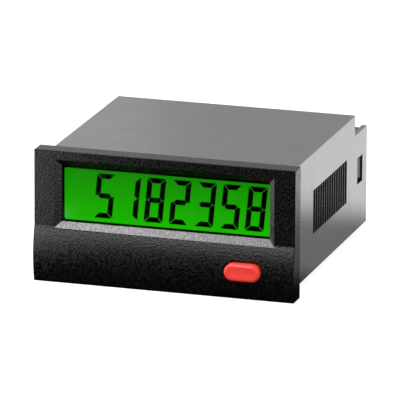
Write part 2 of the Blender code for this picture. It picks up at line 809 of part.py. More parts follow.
def rack_cutter(side):
    """Saw-tooth valleys: each slopes in towards the rear and ends in a steep face."""
    bottom_x = BODY_X - RACK_DEPTH
    outer_x = BODY_X + SEAT_GAP
    run = RACK_PITCH - RACK_CREST
    lead = run * SEAT_GAP / RACK_DEPTH
    valleys = []
    for tooth in range(RACK_TEETH):
        start = RACK_START + tooth * RACK_PITCH
        valley = [(outer_x, start - lead), (bottom_x, start + run), (outer_x, start + run)]
        valleys.append(valley if side == "right" else mirrored(valley))
    return prism("rack_" + side, "Z", valleys, -RACK_HEIGHT / 2, RACK_HEIGHT / 2)


def rear_cover(plastic):
    """Plate that closes the rear below the terminals; its side arms hook into the latch windows.

    Each hook is a ramp that slides in from the rear and springs out behind the window's edge.
    """
    arm_outer = INNER_X - SEAT_GAP
    arm_inner = arm_outer - COVER_ARM
    plate = box(
        "rear_cover",
        (-arm_outer, arm_outer),
        (COVER_START, BLOCK_END),
        (STACK_PLAY - INNER_Z, MAIN_BOARD_TOP - SEAT_GAP),
    )
    hook_outer = BODY_X - HOOK_RECESS
    hook_start = LATCH_START + STACK_PLAY
    hook_end = LATCH_END - STACK_PLAY
    hook = [
        (arm_inner, hook_start),
        (arm_outer, hook_start),
        (hook_outer, hook_end),
        (arm_outer, hook_end),
        (arm_outer, BLOCK_END),
        (arm_inner, BLOCK_END),
    ]
    for side, outline in (("right", hook), ("left", mirrored(hook))):
        across = sorted((outline[0][0], outline[1][0]))
        leg = box("cover_leg_" + side, across, (COVER_START, BLOCK_END), (-INNER_Z / 2, HOOK_WIDTH / 2))
        arm = prism("cover_hook_" + side, "Z", [outline], -HOOK_WIDTH / 2, HOOK_WIDTH / 2)
        join(plate, leg, arm)
    return keep(plate, plastic)


def terminal_places():
    """X positions of the terminals."""
    first = TERMINAL_MARGIN - BLOCK_X
    return [first + index * TERMINAL_PITCH for index in range(TERMINAL_COUNT)]


def terminal_block(plastic):
    """Block with a row of cells: a wire entry from the rear and a screw well from above for each.

    Its shoulders reach over the arms of the rear cover to the cheeks of the housing.
    """
    block = box(
        "terminal_block", (-BLOCK_X, BLOCK_X), (BLOCK_START, BLOCK_END), (BLOCK_BOTTOM, BLOCK_TOP)
    )
    shoulders = box(
        "block_shoulders",
        (-SHOULDER_X, SHOULDER_X),
        (BLOCK_START, BLOCK_END),
        (SHOULDER_BOTTOM, BLOCK_TOP),
    )
    join(block, shoulders)
    entry_start = SCREW_Y - CLAMP_LENGTH / 2 - RUNNING_GAP
    well_bottom = HEAD_BOTTOM - SEAT_GAP
    well_radius = SCREW_HEAD_RADIUS + STACK_PLAY
    shank_radius = SCREW_SHANK_RADIUS + STACK_PLAY
    pin_radius = PIN_RADIUS + RUNNING_GAP
    half = ENTRY_WIDTH / 2
    for x in terminal_places():
        entry = box(
            "wire_entry",
            (x - half, x + half),
            (entry_start, BLOCK_END + OVERLAP),
            (ENTRY_BOTTOM, ENTRY_TOP),
        )
        well = upright("screw_well", x, well_bottom, BLOCK_TOP + OVERLAP, well_radius)
        shank_hole = upright("shank_hole", x, ENTRY_BOTTOM, BLOCK_TOP, shank_radius)
        pin_hole = upright("block_pin_hole", x, BLOCK_BOTTOM - OVERLAP, CLAMP_TOP, pin_radius, HOLE_SIDES)
        cut(block, entry, well, shank_hole, pin_hole)
    return keep(block, plastic)


def upright(name, x, low, high, radius, sides=ROUND_SIDES):
    """A round bar on a terminal's screw axis between two heights."""
    return cylinder(name, "Z", (x, SCREW_Y, (low + high) / 2), radius, high - low, sides)


def terminal_screws(steel):
    """A slotted screw in each well."""
    for number, x in enumerate(terminal_places(), 1):
        screw = upright("terminal_screw_" + str(number), x, HEAD_BOTTOM, HEAD_TOP, SCREW_HEAD_RADIUS)
        shank = upright("screw_shank", x, SHANK_TIP, HEAD_BOTTOM + OVERLAP, SCREW_SHANK_RADIUS)
        slot = box(
            "screw_slot",
            (x - SLOT_WIDTH / 2, x + SLOT_WIDTH / 2),
            (SCREW_Y - 2 * SCREW_HEAD_RADIUS, SCREW_Y + 2 * SCREW_HEAD_RADIUS),
            (HEAD_TOP - SLOT_DEPTH, HEAD_TOP + OVERLAP),
        )
        join(screw, shank)
        cut(screw, slot)
        keep(screw, steel)


def terminal_clamps(brass):
    """A rectangular tube in each cell, with a hole for the screw and a pin through the board."""
    across = ENTRY_WIDTH / 2 - SEAT_GAP
    for number, x in enumerate(terminal_places(), 1):
        outer = rectangle((x - across, x + across), (CLAMP_BOTTOM, CLAMP_TOP))
        inner = rectangle(
            (x - across + CLAMP_WALL, x + across - CLAMP_WALL),
            (CLAMP_BOTTOM + CLAMP_WALL, CLAMP_TOP - CLAMP_WALL),
        )
        start = SCREW_Y - CLAMP_LENGTH / 2
        clamp = prism("terminal_clamp_" + str(number), "Y", [outer, inner], start, start + CLAMP_LENGTH)
        middle = (CLAMP_BOTTOM + CLAMP_TOP) / 2
        bore_radius = SCREW_SHANK_RADIUS + SEAT_GAP
        cut(clamp, upright("clamp_bore", x, middle, CLAMP_TOP + OVERLAP, bore_radius))
        pin_top = CLAMP_BOTTOM + CLAMP_WALL / 2
        join(clamp, upright("clamp_pin", x, pin_top - PIN_LENGTH, pin_top, PIN_RADIUS, HOLE_SIDES))
        keep(clamp, brass)


def lithium_cell(steel):
    """Button-shaped cell lying on the main board, its lid a little smaller than its can."""
    low = COMPONENT_Z + TAB_THICKNESS + SEAT_GAP
    lid_height = CELL_RIM
    can_height = CELL_THICKNESS - lid_height
    can_centre = (CELL_X, CELL_Y, low + can_height / 2)
    can = cylinder("lithium_cell", "Z", can_centre, CELL_RADIUS, can_height, FINE_SIDES)
    lid_centre = (CELL_X, CELL_Y, low + CELL_THICKNESS - lid_height)
    lid_radius = CELL_RADIUS - CELL_RIM
    join(can, cylinder("cell_lid", "Z", lid_centre, lid_radius, 2 * lid_height, FINE_SIDES))
    return keep(can, steel)


def cell_tabs(steel):
    """Sheet contacts: one lies under the cell, one bends over it and down to the board."""
    half = TAB_WIDTH / 2
    tab_y = CELL_Y + CELL_RADIUS + RUNNING_GAP
    lower = box(
        "cell_tab_bottom",
        (CELL_X - half, CELL_X + half),
        (CELL_Y - CELL_RADIUS - TAB_TAIL, CELL_Y),
        (COMPONENT_Z, COMPONENT_Z + TAB_THICKNESS),
    )
    keep(lower, steel)
    top = COMPONENT_Z + TAB_THICKNESS + 2 * SEAT_GAP + CELL_THICKNESS
    strap = [
        (CELL_Y, top),
        (tab_y, top),
        (tab_y, COMPONENT_Z),
        (tab_y + TAB_THICKNESS, COMPONENT_Z),
        (tab_y + TAB_THICKNESS, top + TAB_THICKNESS),
        (CELL_Y, top + TAB_THICKNESS),
    ]
    upper = prism("cell_tab_top", "X", [strap], CELL_X - half, CELL_X + half)
    keep(upper, steel)


def gull_wing(side_x, direction):
    """Outline of one bent lead, from inside the package out to its foot on the board."""
    thickness = LEAD_WIDTH / 2
    shoulder = COMPONENT_Z + CHIP_HEIGHT / 2
    bend = side_x + direction * (LEAD_REACH / 2)
    foot = side_x + direction * LEAD_REACH
    inside = side_x - direction * OVERLAP
    return [
        (inside, shoulder + thickness),
        (bend + direction * thickness, shoulder + thickness),
        (bend + direction * thickness, COMPONENT_Z + thickness),
        (foot, COMPONENT_Z + thickness),
        (foot, COMPONENT_Z),
        (bend, COMPONENT_Z),
        (bend, shoulder),
        (inside, shoulder),
    ]


def microcontroller(black_plastic):
    """Flat package with a row of gull-wing leads on each long side."""
    half_width = CHIP_WIDTH / 2
    package = box(
        "microcontroller",
        (CHIP_X - half_width + LEAD_REACH, CHIP_X + half_width - LEAD_REACH),
        (CHIP_Y - CHIP_LENGTH / 2, CHIP_Y + CHIP_LENGTH / 2),
        (COMPONENT_Z + SEAT_GAP, COMPONENT_Z + CHIP_HEIGHT),
    )
    first = CHIP_Y - (LEAD_PAIRS - 1) * LEAD_PITCH / 2
    for direction in (-1, 1):
        side_x = CHIP_X + direction * (half_width - LEAD_REACH)
        outline = gull_wing(side_x, direction)
        for index in range(LEAD_PAIRS):
            start = first + index * LEAD_PITCH - LEAD_WIDTH / 2
            join(package, prism("chip_lead", "Y", [outline], start, start + LEAD_WIDTH))
    return keep(package, black_plastic)


def upright_stadium(centre, length, width):
    """An oblong outline that is longer along the object than across it."""
    return [(centre[0] - up, centre[1] + across) for across, up in stadium((0, 0), length, width)]


def crystal(steel):
    """Low oblong can on a slightly wider foot, under the board below the microcontroller."""
    centre = (CHIP_X, CHIP_Y)
    outline = upright_stadium(centre, CRYSTAL_LENGTH, CRYSTAL_WIDTH)
    can = prism("crystal", "Z", [outline], UNDERSIDE_Z - CRYSTAL_HEIGHT, UNDERSIDE_Z)
    rim = upright_stadium(centre, CRYSTAL_LENGTH + 2 * OVERLAP, CRYSTAL_WIDTH + 2 * OVERLAP)
    join(can, prism("crystal_foot", "Z", [rim], UNDERSIDE_Z - OVERLAP, UNDERSIDE_Z))
    return keep(can, steel)


def capacitor(aluminium):
    """Aluminium can on a square foot."""
    foot_top = COMPONENT_Z + 2 * OVERLAP
    low = foot_top - OVERLAP
    length = COMPONENT_Z + CAPACITOR_HEIGHT - low
    centre = (CAPACITOR_X, CAPACITOR_Y, low + length / 2)
    can = cylinder("capacitor", "Z", centre, CAPACITOR_RADIUS, length)
    foot = box(
        "capacitor_foot",
        (CAPACITOR_X - CAPACITOR_FOOT, CAPACITOR_X + CAPACITOR_FOOT),
        (CAPACITOR_Y - CAPACITOR_FOOT, CAPACITOR_Y + CAPACITOR_FOOT),
        (COMPONENT_Z, foot_top),
    )
    join(can, foot)
    return keep(can, aluminium)


def regulator(black_plastic):
    """Small package with three leads and a wide tab, under the board below the capacitor."""
    half_width = REGULATOR_WIDTH / 2
    half_depth = REGULATOR_DEPTH / 2
    package = box(
        "regulator",
        (CAPACITOR_X - half_width, CAPACITOR_X + half_width),
        (CAPACITOR_Y - half_depth, CAPACITOR_Y + half_depth),
        (UNDERSIDE_Z - REGULATOR_HEIGHT, UNDERSIDE_Z - SEAT_GAP),
    )
    lead_z = (UNDERSIDE_Z - LEAD_WIDTH, UNDERSIDE_Z)
    lead_y = (CAPACITOR_Y - half_depth - 2 * LEAD_WIDTH, CAPACITOR_Y - half_depth + OVERLAP)
    for index in (-1, 0, 1):
        middle = CAPACITOR_X + index * REGULATOR_WIDTH / 3
        lead_x = (middle - LEAD_WIDTH / 2, middle + LEAD_WIDTH / 2)
        join(package, box("regulator_lead", lead_x, lead_y, lead_z))
    tab_x = (CAPACITOR_X - REGULATOR_TAB / 2, CAPACITOR_X + REGULATOR_TAB / 2)
    tab_y = (CAPACITOR_Y + half_depth - OVERLAP, CAPACITOR_Y + half_depth + 2 * LEAD_WIDTH)
    join(package, box("regulator_tab", tab_x, tab_y, lead_z))
    return keep(package, black_plastic)


def optocouplers(white_plastic):
    """Two input isolators, each a block with four short leads."""
    for number in (1, 2):
        middle = COMPONENT_X - COUPLER_WIDTH / 2 - (number - 1) * COUPLER_SPACING
        body = box(
            "optocoupler_" + str(number),
            (middle - COUPLER_WIDTH / 2, middle + COUPLER_WIDTH / 2),
            (COUPLER_Y - COUPLER_LENGTH / 2, COUPLER_Y + COUPLER_LENGTH / 2),
            (COMPONENT_Z + LEAD_WIDTH, COMPONENT_Z + COUPLER_HEIGHT),
        )
        for across in (-1, 1):
            for along in (-1, 1):
                x = middle + across * COUPLER_WIDTH / 4
                y = COUPLER_Y + along * (COUPLER_LENGTH / 2 - LEAD_WIDTH)
                lead = box(
                    "optocoupler_lead",
                    (x - LEAD_WIDTH, x + LEAD_WIDTH),
                    (y - LEAD_WIDTH / 2, y + LEAD_WIDTH / 2),
                    (COMPONENT_Z, COMPONENT_Z + 2 * LEAD_WIDTH),
                )
                join(body, lead)
        keep(body, white_plastic)


def build_counter():
    """Make every piece, then set the counter on its base."""
    case_plastic = finish("dark_grey_plastic", (0.045, 0.046, 0.047), 0.3)
    bezel_plastic = finish("fine_grained_black_plastic", (0.03, 0.03, 0.031), 0.45)
    black_plastic = finish("black_plastic", (0.02, 0.02, 0.02), 0.5)
    pale_plastic = finish("natural_nylon", (0.7, 0.68, 0.6), 0.5)
    red_plastic = finish("red_plastic", (0.75, 0.04, 0.03), 0.35)
    clear_plastic = finish("clear_plastic", (0.9, 0.92, 0.92), 0.05, transmission=0.9)
    green_glass = finish("green_lit_glass", (0.02, 0.4, 0.01), 0.2)
    green_resin = finish("green_resin", (0.1, 0.7, 0.1), 0.3)
    rubber = finish("black_rubber", (0.03, 0.03, 0.03), 0.8)
    laminate = finish("green_laminate", (0.02, 0.16, 0.06), 0.4)
    steel = finish("plated_steel", (0.65, 0.65, 0.66), 0.3, 1.0)
    brass = finish("tinned_brass", (0.75, 0.68, 0.45), 0.35, 1.0)
    aluminium = finish("aluminium_can", (0.8, 0.8, 0.82), 0.3, 1.0)

    front_bezel(bezel_plastic)
    display_window(clear_plastic)
    display_mask(black_plastic)
    lcd_cell(green_glass)
    light_guide(clear_plastic)
    backlight_leds(green_resin)
    zebra_strip(rubber)
    display_board(laminate)
    reset_button(red_plastic)
    button_seal(rubber)
    reset_switch(black_plastic, pale_plastic)
    main_board(laminate)
    link_header(black_plastic)
    housing(case_plastic)
    rear_cover(black_plastic)
    terminal_block(black_plastic)
    terminal_screws(steel)
    terminal_clamps(brass)
    lithium_cell(steel)
    cell_tabs(steel)
    microcontroller(black_plastic)
    crystal(steel)
    capacitor(aluminium)
    regulator(black_plastic)
    optocouplers(black_plastic)

    BASE.location = (0, -(BUTTON_FRONT + HOUSING_END) / 2, BEZEL_Z)
    bpy.context.view_layer.update()


build_counter()
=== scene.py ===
# Panel counter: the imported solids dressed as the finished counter, on a white studio table.
# Every place is given in millimetres from the middle of the bezel's flat face: x to the right,
# y back towards the terminals, z up.
import math

import bmesh
import bpy
from mathutils import Matrix, Vector


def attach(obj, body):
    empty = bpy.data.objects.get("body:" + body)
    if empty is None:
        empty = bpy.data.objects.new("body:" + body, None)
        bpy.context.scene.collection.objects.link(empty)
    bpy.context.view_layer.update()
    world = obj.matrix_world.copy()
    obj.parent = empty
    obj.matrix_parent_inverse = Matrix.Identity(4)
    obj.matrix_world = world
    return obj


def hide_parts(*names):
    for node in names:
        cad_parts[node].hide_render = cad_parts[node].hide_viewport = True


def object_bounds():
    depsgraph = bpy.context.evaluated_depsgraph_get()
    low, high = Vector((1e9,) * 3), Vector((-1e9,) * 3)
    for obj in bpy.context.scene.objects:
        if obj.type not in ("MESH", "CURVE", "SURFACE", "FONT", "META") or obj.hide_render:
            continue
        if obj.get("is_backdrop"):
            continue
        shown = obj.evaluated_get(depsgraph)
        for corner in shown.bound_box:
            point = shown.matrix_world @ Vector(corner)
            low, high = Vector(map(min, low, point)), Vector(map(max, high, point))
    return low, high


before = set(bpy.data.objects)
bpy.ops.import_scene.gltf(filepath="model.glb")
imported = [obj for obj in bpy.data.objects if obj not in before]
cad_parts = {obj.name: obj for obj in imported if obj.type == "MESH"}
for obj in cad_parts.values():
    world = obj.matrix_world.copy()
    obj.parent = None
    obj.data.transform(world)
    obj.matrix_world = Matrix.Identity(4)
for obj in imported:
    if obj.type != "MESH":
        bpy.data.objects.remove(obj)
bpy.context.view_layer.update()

# Front bezel
# One moulding in black ABS: a flange with a window, a bulged band for the button and a collar that
# plugs into the housing. The tool's face was spark-eroded, which leaves an even fine grain.
BEZEL_X = 24.0
BEZEL_Z = 12.0
FLANGE_Y = 3.3
FRONT_WALL = 1.1
CREASE_Z = -1.75
BULGE_FOOT = 0.3
BULGE_RISE = 0.7
BULGE_STEPS = 64
RIM_ROUND = 0.4
RIM_STEPS = 5
SHARP_EDGE = 35
COLLAR_X = 22.5
COLLAR_Z = 11.0
COLLAR_Y = 5.0
COLLAR_WALL = 1.0
COLLAR_CORNER = 0.2
OPENING_X = 19.14
OPENING_LOW = -0.99
OPENING_HIGH = 9.34
BORDER = 1.06
BORDER_Y = 0.9
BORDER_RUN_ON = 2.2
HOLE_X = 14.8
HOLE_Z = -6.82
HOLE_WIDTH = 7.1
HOLE_HEIGHT = 3.76
HOLE_FRONT = -2.0
ARM_HEIGHTS = (0.5, 5.5)
RIB_X = 20.6
RIB_Y = (0.8, 6.8)
RIB_HEIGHTS = (-2.95, -2.35)
MOULD_EDGE = 0.06
EDGE_ANGLE = 30
OVERLAP = 0.3
BEZEL_BLACK = "#060606"
GRAIN = 0.33
GRAIN_DEPTH = 0.06
SIDEWAYS = 0.3
FULL_FRONT = 0.9


def at(x, y, z):
    """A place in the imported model, in metres, from millimetres off the bezel's flat face."""
    return Vector((x, y - 24.775, z + 12.0)) / 1000


def arc(centre, radius, start, end, steps):
    """Points on an arc between two angles in degrees."""
    turns = [math.radians(start + (end - start) * step / steps) for step in range(steps + 1)]
    x, y = centre
    return [(x + radius * math.cos(turn), y + radius * math.sin(turn)) for turn in turns]


def bowed(start, end, rise, steps):
    """Points on an arc between two places that bows out by rise to the right of the way there."""
    way = Vector(end) - Vector(start)
    half = way.length / 2
    radius = (half ** 2 + rise ** 2) / (2 * rise)
    way.normalize()
    out = Vector((way.y, -way.x))
    centre = (Vector(start) + Vector(end)) / 2 - out * (radius - rise)
    spread = math.asin(half / radius)
    turns = [spread * (2 * step / steps - 1) for step in range(steps + 1)]
    return [tuple(centre + (out * math.cos(turn) + way * math.sin(turn)) * radius) for turn in turns]


def oblong(centre, width, height, steps=16):
    """Outline with two half-round ends."""
    reach = (width - height) / 2
    right = arc((centre[0] + reach, centre[1]), height / 2, -90, 90, steps)
    return right + arc((centre[0] - reach, centre[1]), height / 2, 90, 270, steps)


def rounded_rectangle(half_x, half_z, radius, steps=6):
    """Rectangular outline about the middle with round corners."""
    corners = ((1, 1, 0), (-1, 1, 90), (-1, -1, 180), (1, -1, 270))
    outline = []
    for side, level, turn in corners:
        centre = (side * (half_x - radius), level * (half_z - radius))
        outline += arc(centre, radius, turn, turn + 90, steps)
    return outline


def lofted(name, rings):
    """A closed body through rings of places, capped at both ends."""
    mesh = bpy.data.meshes.new(name)
    shape = bmesh.new()
    loops = [[shape.verts.new(at(*place)) for place in ring] for ring in rings]
    for near, far in zip(loops, loops[1:]):
        for index, corner in enumerate(near):
            following = (index + 1) % len(near)
            shape.faces.new((corner, near[following], far[following], far[index]))
    shape.faces.new(loops[0])
    shape.faces.new(loops[-1])
    bmesh.ops.recalc_face_normals(shape, faces=shape.faces)
    shape.to_mesh(mesh)
    shape.free()
    piece = bpy.data.objects.new(name, mesh)
    bpy.context.scene.collection.objects.link(piece)
    return piece


def extruded(name, axis, outline, start, end):
    """A flat outline drawn out along an axis."""
    order = {
        "X": lambda a, b, c: (c, a, b),
        "Y": lambda a, b, c: (a, c, b),
        "Z": lambda a, b, c: (a, b, c),
    }
    return lofted(name, [[order[axis](a, b, along) for a, b in outline] for along in (start, end)])


def block(name, x, y, z):
    """A plain block between pairs of places."""
    return extruded(name, "Z", [(x[0], y[0]), (x[1], y[0]), (x[1], y[1]), (x[0], y[1])], z[0], z[1])


def baked(piece):
    """Turns a piece's modifiers into its mesh."""
    depsgraph = bpy.context.evaluated_depsgraph_get()
    piece.data = bpy.data.meshes.new_from_object(piece.evaluated_get(depsgraph))
    piece.modifiers.clear()


def shaped(piece, operation, tools):
    """Cuts tools away from a piece, or welds them to it."""
    for tool in tools:
        step = piece.modifiers.new(tool.name, "BOOLEAN")
        step.operation = operation
        step.solver = "EXACT"
        step.object = tool
    baked(piece)
    for tool in tools:
        bpy.data.objects.remove(tool)


def softened(piece, width):
    """Breaks the edges over 30 degrees by a moulded radius and shades the rest smooth."""
    piece.data.shade_smooth()
    piece.data.set_sharp_from_angle(angle=math.radians(EDGE_ANGLE))
    rounding = piece.modifiers.new("moulded radius", "BEVEL")
    rounding.width = width / 1000
    rounding.segments = 2
    rounding.limit_method = "ANGLE"
    rounding.angle_limit = math.radians(EDGE_ANGLE)
    piece.modifiers.new("flat faces", "WEIGHTED_NORMAL").keep_sharp = True
    baked(piece)


bulge = bowed((0, CREASE_Z), (-BULGE_FOOT, -BEZEL_Z), BULGE_RISE, BULGE_STEPS)
profile = [(FLANGE_Y, BEZEL_Z), (0, BEZEL_Z), *bulge, (FLANGE_Y, -BEZEL_Z)]
bezel = extruded("bezel_moulding", "X", profile, -BEZEL_X, BEZEL_X)
rim = bmesh.new()
rim.from_mesh(bezel.data)
weights = rim.edges.layers.float.new("bevel_weight_edge")
for edge in rim.edges:
    in_front = any(corner.co.y < at(0, FLANGE_Y / 2, 0).y for corner in edge.verts)
    edge[weights] = float(in_front and edge.calc_face_angle(0) > math.radians(SHARP_EDGE))
rim.to_mesh(bezel.data)
rim.free()
rounding = bezel.modifiers.new("rim round", "BEVEL")
rounding.width = RIM_ROUND / 1000
rounding.segments = RIM_STEPS
rounding.limit_method = "WEIGHT"
baked(bezel)

# The opening runs straight through the front wall and flares out to the face and on past it.
flare = [(OPENING_X, OPENING_LOW, OPENING_HIGH, y) for y in (FRONT_WALL + OVERLAP, BORDER_Y)]
flare += [
    (OPENING_X + grow, OPENING_LOW - grow, OPENING_HIGH + grow, BORDER_Y - grow * BORDER_Y / BORDER)
    for grow in (BORDER, BORDER * BORDER_RUN_ON)
]
window = lofted(
    "window_flare",
    [[(-x, y, low), (x, y, low), (x, y, high), (-x, y, high)] for x, low, high, y in flare],
)
inner_x = COLLAR_X - COLLAR_WALL
inner_z = COLLAR_Z - COLLAR_WALL
cavity_y = (FRONT_WALL, COLLAR_Y + OVERLAP)
cavity = block("collar_cavity", (-inner_x, inner_x), cavity_y, (-inner_z, inner_z))
hole_outline = oblong((HOLE_X, HOLE_Z), HOLE_WIDTH, HOLE_HEIGHT)
hole = extruded("button_hole", "Y", hole_outline, HOLE_FRONT, FRONT_WALL + OVERLAP)
collar_outline = rounded_rectangle(COLLAR_X, COLLAR_Z, COLLAR_CORNER)
shaped(bezel, "UNION", [extruded("collar", "Y", collar_outline, FLANGE_Y - OVERLAP, COLLAR_Y)])
shaped(bezel, "DIFFERENCE", [cavity, window, hole])
# Each arm starts inside the collar and ends in a ramped nose; the rib carries the display stack.
arm = [(21.8, 3.8), (21.8, 4.7), (21.4, 4.7), (21.4, 8.4), (21.8, 8.4), (21.8, 8.8), (21.4, 9.4)]
arm += [(20.8, 9.4), (20.8, 3.8)]
left_arm = [(-x, y) for x, y in reversed(arm)]
arms = [
    extruded("snap_arm_right", "Z", arm, *ARM_HEIGHTS),
    extruded("snap_arm_left", "Z", left_arm, *ARM_HEIGHTS),
    block("stack_rib", (-RIB_X, RIB_X), RIB_Y, RIB_HEIGHTS),
]
shaped(bezel, "UNION", arms)
softened(bezel, MOULD_EDGE)


def linear(colour):
    """An sRGB hex colour as linear light."""
    parts = [int(colour[start:start + 2], 16) / 255 for start in (1, 3, 5)]
    light = [part / 12.92 if part <= 0.04045 else ((part + 0.055) / 1.055) ** 2.4 for part in parts]
    return (*light, 1.0)


def node(tree, kind, settings=None, links=None):
    """Adds a shader node, sets its inputs or options, and links sockets into it."""
    made = tree.nodes.new("ShaderNode" + kind)
    for key, value in (settings or {}).items():
        if isinstance(key, int) or key in made.inputs:
            made.inputs[key].default_value = value
        else:
            setattr(made, key, value)
    for key, socket in (links or {}).items():
        tree.links.new(socket, made.inputs[key])
    return made


def blank(name):
    """An empty node material."""
    material = bpy.data.materials.new(name)
    material.use_nodes = True
    material.node_tree.nodes.clear()
    return material, material.node_tree


# Most of the noise lies between these values.
NOISE_SPAN = {"From Min": 0.3, "From Max": 0.7}


def moulded(name, colour, ior, roughness, grain, depth, mottle=0.12, specular=0.5, subsurface=0.0):
    """Moulded plastic: grain of a width and depth in millimetres, with 7 mm patches of handling."""
    material, tree = blank(name)
    place = node(tree, "TexCoord").outputs["Object"]
    grained = {"Scale": 1000 / grain, "Detail": 2.0, "Roughness": 0.6}
    fine = node(tree, "TexNoise", grained, {"Vector": place})
    patches = {"Scale": 1000 / 7.0, "Detail": 5.0, "Roughness": 0.6}
    broad = node(tree, "TexNoise", patches, {"Vector": place})
    relief = node(tree, "Bump", {"Distance": depth / 1000}, {"Height": fine.outputs["Fac"]})
    gloss = node(
        tree,
        "MapRange",
        {**NOISE_SPAN, "To Min": roughness * 0.9, "To Max": roughness * 1.1},
        {"Value": broad.outputs["Fac"]},
    )
    shade = node(
        tree,
        "MapRange",
        {**NOISE_SPAN, "To Min": 1 - mottle, "To Max": 1 + mottle},
        {"Value": broad.outputs["Fac"]},
    )
    plain = {"operation": "SCALE", 0: linear(colour)[:3]}
    tint = node(tree, "VectorMath", plain, {"Scale": shade.outputs[0]})
    shader = node(
        tree,
        "BsdfPrincipled",
        {"IOR": ior, "Specular IOR Level": specular, "Subsurface Weight": subsurface},
        {"Base Color": tint.outputs[0], "Roughness": gloss.outputs[0], "Normal": relief.outputs[0]},
    )
    if subsurface:
        shader.inputs["Subsurface Radius"].default_value = (1.0, 0.3, 0.2)
        shader.inputs["Subsurface Scale"].default_value = 0.0008
    node(tree, "OutputMaterial", {}, {"Surface": shader.outputs[0]})
    return material


def eroded(name, pit, crest, specular):
    """Spark-eroded black plastic, with the roughness of its pits and of its crests."""
    material, tree = blank(name)
    place = node(tree, "TexCoord").outputs["Object"]
    pitted = {"Scale": 1000 / GRAIN, "Detail": 1.0, "Roughness": 0.5}
    grain = node(tree, "TexNoise", pitted, {"Vector": place})
    relief = node(tree, "Bump", {"Distance": GRAIN_DEPTH / 1000}, {"Height": grain.outputs["Fac"]})
    gloss = node(
        tree,
        "MapRange",
        {"From Min": 0.38, "From Max": 0.62, "To Min": pit, "To Max": crest},
        {"Value": grain.outputs["Fac"]},
    )
    shader = node(
        tree,
        "BsdfPrincipled",
        {"Base Color": linear(BEZEL_BLACK), "IOR": 1.53, "Specular IOR Level": specular},
        {"Roughness": gloss.outputs[0], "Normal": relief.outputs[0]},
    )
    node(tree, "OutputMaterial", {}, {"Surface": shader.outputs[0]})
    return material


# The face sparkles where the crests of its grain catch the lamps. The rim lies along the pull of the
# mould, which dragged its grain dull. On the flares of the window the slope left it more even.
bezel.data.materials.clear()
bezel.data.materials.append(eroded("spark_eroded_black_abs", 0.42, 0.18, 0.5))
bezel.data.materials.append(eroded("dragged_grain_black_abs", 0.36, 0.26, 0.1))
bezel.data.materials.append(eroded("even_grain_black_abs", 0.35, 0.25, 0.5))
for face in bezel.data.polygons:
    out = face.center - at(0, 0, 0)
    on_rim = max(abs(out.x) - BEZEL_X / 1000, abs(out.z) - BEZEL_Z / 1000) > -RIM_ROUND / 1000
    if on_rim or abs(face.normal.y) < SIDEWAYS:
        face.material_index = 1
    elif face.normal.y > -FULL_FRONT and out.y < FRONT_WALL / 1000:
        face.material_index = 2
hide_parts("front_bezel")
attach(bezel, "case")

# Display window and mask
# A clear acrylic pane is laid in behind the window. Behind it a black screen-printed film, die-cut
# with small corner radii, frames the lit field and hides the edges of the cell.
STACK_X = 21.3
STACK_LOW = -2.15
STACK_HIGH = 9.8
MASK_FROM = 2.1
MASK_TO = 2.5
FIELD_X = 19.05
FIELD_LOW = -0.9
FIELD_HIGH = 8.64
FIELD_CORNER = 0.45
PANE_CLEAR = "#f4f6f4"
FILM_BLACK = "#070707"


def dressed(material, *names):
    """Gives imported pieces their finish."""
    for name in names:
        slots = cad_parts[name].data.materials
        slots.clear()
        slots.append(material)


# The pane is cast and polished, so it is seen by its faint sheen and a few handling marks only.
cast_acrylic, tree = blank("cast_clear_acrylic")
place = node(tree, "TexCoord").outputs["Object"]
handled = {"Scale": 1000 / 9.0, "Detail": 8.0, "Roughness": 0.7}
marks = node(tree, "TexNoise", handled, {"Vector": place})
smear = node(
    tree,
    "MapRange",
    {"From Min": 0.45, "From Max": 0.75, "To Min": 0.0, "To Max": 0.05},
    {"Value": marks.outputs["Fac"]},
)
clear = {
    "Base Color": linear(PANE_CLEAR),
    "IOR": 1.49,
    "Transmission Weight": 1.0,
    "Specular IOR Level": 0.05,
}
shader = node(tree, "BsdfPrincipled", clear, {"Roughness": smear.outputs[0]})
node(tree, "OutputMaterial", {}, {"Surface": shader.outputs[0]})
dressed(cast_acrylic, "display_window")

mask = block("printed_mask_film", (-STACK_X, STACK_X), (MASK_FROM, MASK_TO), (STACK_LOW, STACK_HIGH))
field_middle = (FIELD_LOW + FIELD_HIGH) / 2
field_outline = rounded_rectangle(FIELD_X, FIELD_HIGH - field_middle, FIELD_CORNER)
field_outline = [(x, z + field_middle) for x, z in field_outline]
field = extruded("field_opening", "Y", field_outline, MASK_FROM - OVERLAP, MASK_TO + OVERLAP)
shaped(mask, "DIFFERENCE", [field])
# The print is matt and even, so the film stays dark under the lamps.
black_film = moulded("printed_black_film", FILM_BLACK, 1.5, 0.6, 0.12, 0.003, specular=0.2)
mask.data.materials.clear()
mask.data.materials.append(black_film)
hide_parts("display_mask")
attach(mask, "case")

# Liquid-crystal cell
# Two glass plates with the crystal between them, lit green from behind. The field is brightest near
# its lower edge, over the lamps' diffuser, and falls off upwards.
LCD_Y = 2.6
CLOUDING = 0.05
FIELD_TOP = "#179405"
FIELD_BOTTOM = "#1dc300"
GLASS_DARK = "#0a1407"
RESTING_TOP = "#169105"
RESTING_BOTTOM = "#1cbe00"
RESTING_DARK = "#0c1a08"
DRIVEN_BLACK = "#030503"
DRIVEN_FRONT = 0.03
RESTING_FRONT = 0.01
PRINT_BACK = 0.02
DIGITS = " 5182358"
DIGIT_PITCH = 4.648
DIGIT_FIRST = -16.29
DIGIT_MIDDLE = 3.87
DIGIT_WIDTH = 3.45
DIGIT_HEIGHT = 8.13
STROKE = 0.95
SPLIT = 0.06
SLANT = math.tan(math.radians(5.5))
SEGMENTS_OF = {
    " ": "", "1": "bc", "2": "abged", "3": "abgcd", "5": "afgcd", "8": "abcdefg",
}

